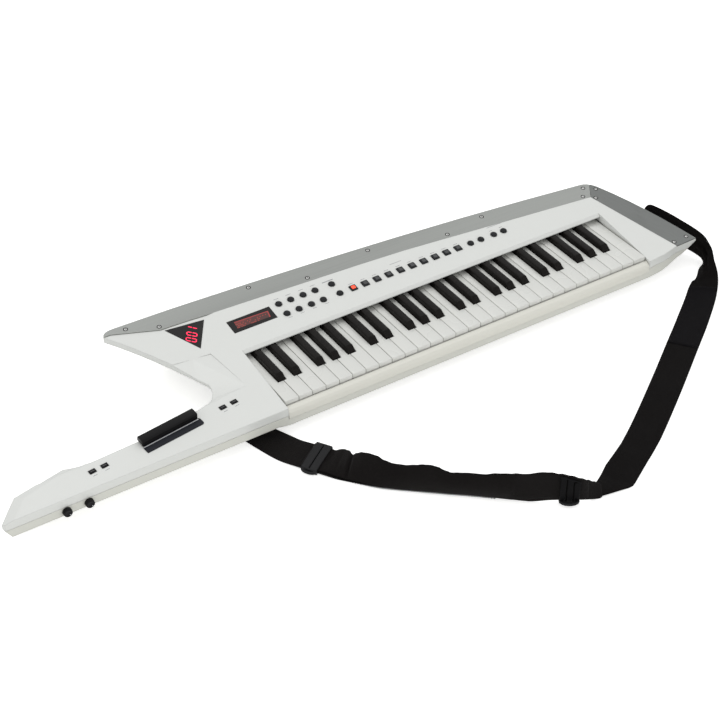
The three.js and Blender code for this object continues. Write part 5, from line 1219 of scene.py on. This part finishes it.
# In the webbing's frame at its station: bar = centre + normal times its stand + along times k (half - inset)
def makeSlider(name):
    own = sliders[name]
    edge, tangent, across, normal, width, thickness = (v[0] for v in strapFrames(np.array([own["station"]])))
    along = np.cross(across, normal)
    centre = edge + across * width / 2
    half, reach, inner = own["length"] / 2, width / 2 + slider["rim"], thickness / 2 + slider["room"]
    railTall = 2 * inner + slider["railMore"]
    lower = centre - across * (reach - slider["rail"] / 2)

    def upper(k):  # the upper rail's distance from the centre, k from -1 to 1 along the slider
        return width / 2 + own["topRim"] - own["fall"] * (k + 1) / 2

    def crossBar(k, inset, stand, wide, tall):
        bar = centre + normal * stand + along * k * (half - inset)
        foot, head = reach - slider["barFoot"], upper(k) - slider["barHead"]
        return roundBar(bar - across * foot, bar + across * head, wide, tall, normal)

    start, end = (centre + across * (upper(k) - slider["railInset"]) + along * k * half for k in (-1, 1))
    rails = [roundBar(lower - along * half, lower + along * half, slider["rail"], railTall, normal)]
    if own["loopUp"]:
        wide, tall, stand = slider["cap"]
        out = normal * (inner + stand)
        shells = [roundBar(start + out, end + out, wide, tall, normal)]
    else:
        shells = [roundBar(start, end, slider["rail"], railTall, normal)]
    rise = slider["rise"]
    shells += [crossBar(k, own["wide"] / 2 + slider["barGap"], inner + rise / 2, own["wide"], rise)
               for k in np.linspace(-1, 1, own["bars"])]
    wide, tall, inset = slider["under"]
    shells += [crossBar(k, inset, -inner - tall / 2, wide, tall) for k in (-1, 1)]
    base = centre - across * (reach - own["loopFrom"]) + normal * inner * own["loopUp"]
    outward, third = (normal, across) if own["loopUp"] else (-across, normal)
    rails.append(sliderLoop(base, along * (half - slider["loopInset"]), outward * own["loopOut"], third))
    for part, group, look in (("_bars", shells, own["look"]), ("_rail", rails, nylonGrey)):
        for shell in group:
            shell[..., 2] += max(strap["floor"] + slider["floorGap"] - shell[..., 2].min(), 0)
        mesh = shellPiece(name + part, [fromKeys(shell) for shell in group], look, "instrument")
        solid = bmesh.new()
        solid.from_mesh(mesh.data)
        bmesh.ops.recalc_face_normals(solid, faces=solid.faces)
        solid.to_mesh(mesh.data)
        solid.free()
        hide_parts(name)


firstRun = ribbonPiece("strap_webbing_body")
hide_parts("strap_webbing")
ribbonPiece("strap_webbing_second")
ribbonPiece("strap_webbing_end")
ribbonPiece("strap_patch")
makeSlider("strap_slider_near")
makeSlider("strap_slider_far")
makeStitches()
print("strap made")

# Stage: the floor in metres, its colour and how much of white it glows with for the camera, and the
# strength of the sky's own light
stage = {"size": 12.0, "color": (0.8, 0.8, 0.785, 1.0), "lift": 0.6, "sky": 0.77}
pureWhite = (1.0, 1.0, 1.0, 1.0)


# 1 for what the camera, a reflection or clear glass shows, 0 for light that falls on the object
def seenDirectly(tree):
    path = addNode(tree, "LightPath").outputs
    throughObject = calculate(tree, "MAXIMUM", path["Is Glossy Ray"], path["Is Transmission Ray"])
    return calculate(tree, "MAXIMUM", path["Is Camera Ray"], throughObject)


# A pale floor: matt white for light, and lifted to white for the camera where no shadow falls
def makeStage():
    size = stage["size"]
    corners = [(-size, -size, 0), (size, -size, 0), (size, size, 0), (-size, size, 0)]
    mesh = bpy.data.meshes.new("paleFloor")
    mesh.from_pydata(corners, [], [[0, 1, 2, 3]])
    floor = placeObject("paleFloor", mesh)
    material = bpy.data.materials.new("floorPale")
    material.use_nodes = True
    tree = material.node_tree
    tree.nodes.clear()
    matt = addNode(tree, "BsdfDiffuse", {"Color": stage["color"]}).outputs[0]
    glow = {"Color": pureWhite, "Strength": times(tree, seenDirectly(tree), stage["lift"])}
    both = addNode(tree, "AddShader", {0: matt, 1: addNode(tree, "Emission", glow).outputs[0]}).outputs[0]
    addNode(tree, "OutputMaterial", {"Surface": both})
    mesh.materials.append(material)


lamps = {  # place, target, size and power of each soft lamp
    "overhead": ((-0.7, 0.9, 2.5), (-0.1, 0.0, 0.0), 2.2, 12.0),
    "frontLeft": ((-1.0, -2.8, 1.0), (-0.1, -0.1, 0.0), 2.0, 15.0),
    "highEnd": ((1.5, 0.6, 2.4), (0.1, 0.0, 0.0), 1.4, 3.5),
}


def makeLamps():
    for name, (place, target, size, power) in lamps.items():
        data = bpy.data.lights.new(name, "AREA")
        data.shape = "DISK"
        data.size = size
        data.energy = power
        lamp = placeObject(name, data)
        lamp.location = place
        lamp.rotation_mode = "QUATERNION"
        lamp.rotation_quaternion = (Vector(target) - Vector(place)).to_track_quat("-Z", "Y")


# White where the camera and reflections look, a plain soft grey for the light itself
def makeWorld():
    world = bpy.data.worlds.new("studio")
    world.use_nodes = True
    tree = world.node_tree
    tree.nodes.clear()
    strength = rescale(tree, seenDirectly(tree), stage["sky"], 1.0)
    light = addNode(tree, "Background", {"Color": pureWhite, "Strength": strength}).outputs[0]
    addNode(tree, "OutputWorld", {"Surface": light})
    bpy.context.scene.world = world


makeCamera()
makeStage()
makeLamps()
makeWorld()
bpy.context.scene.view_settings.view_transform = "Standard"
print("camera, floor, lamps and sky made")
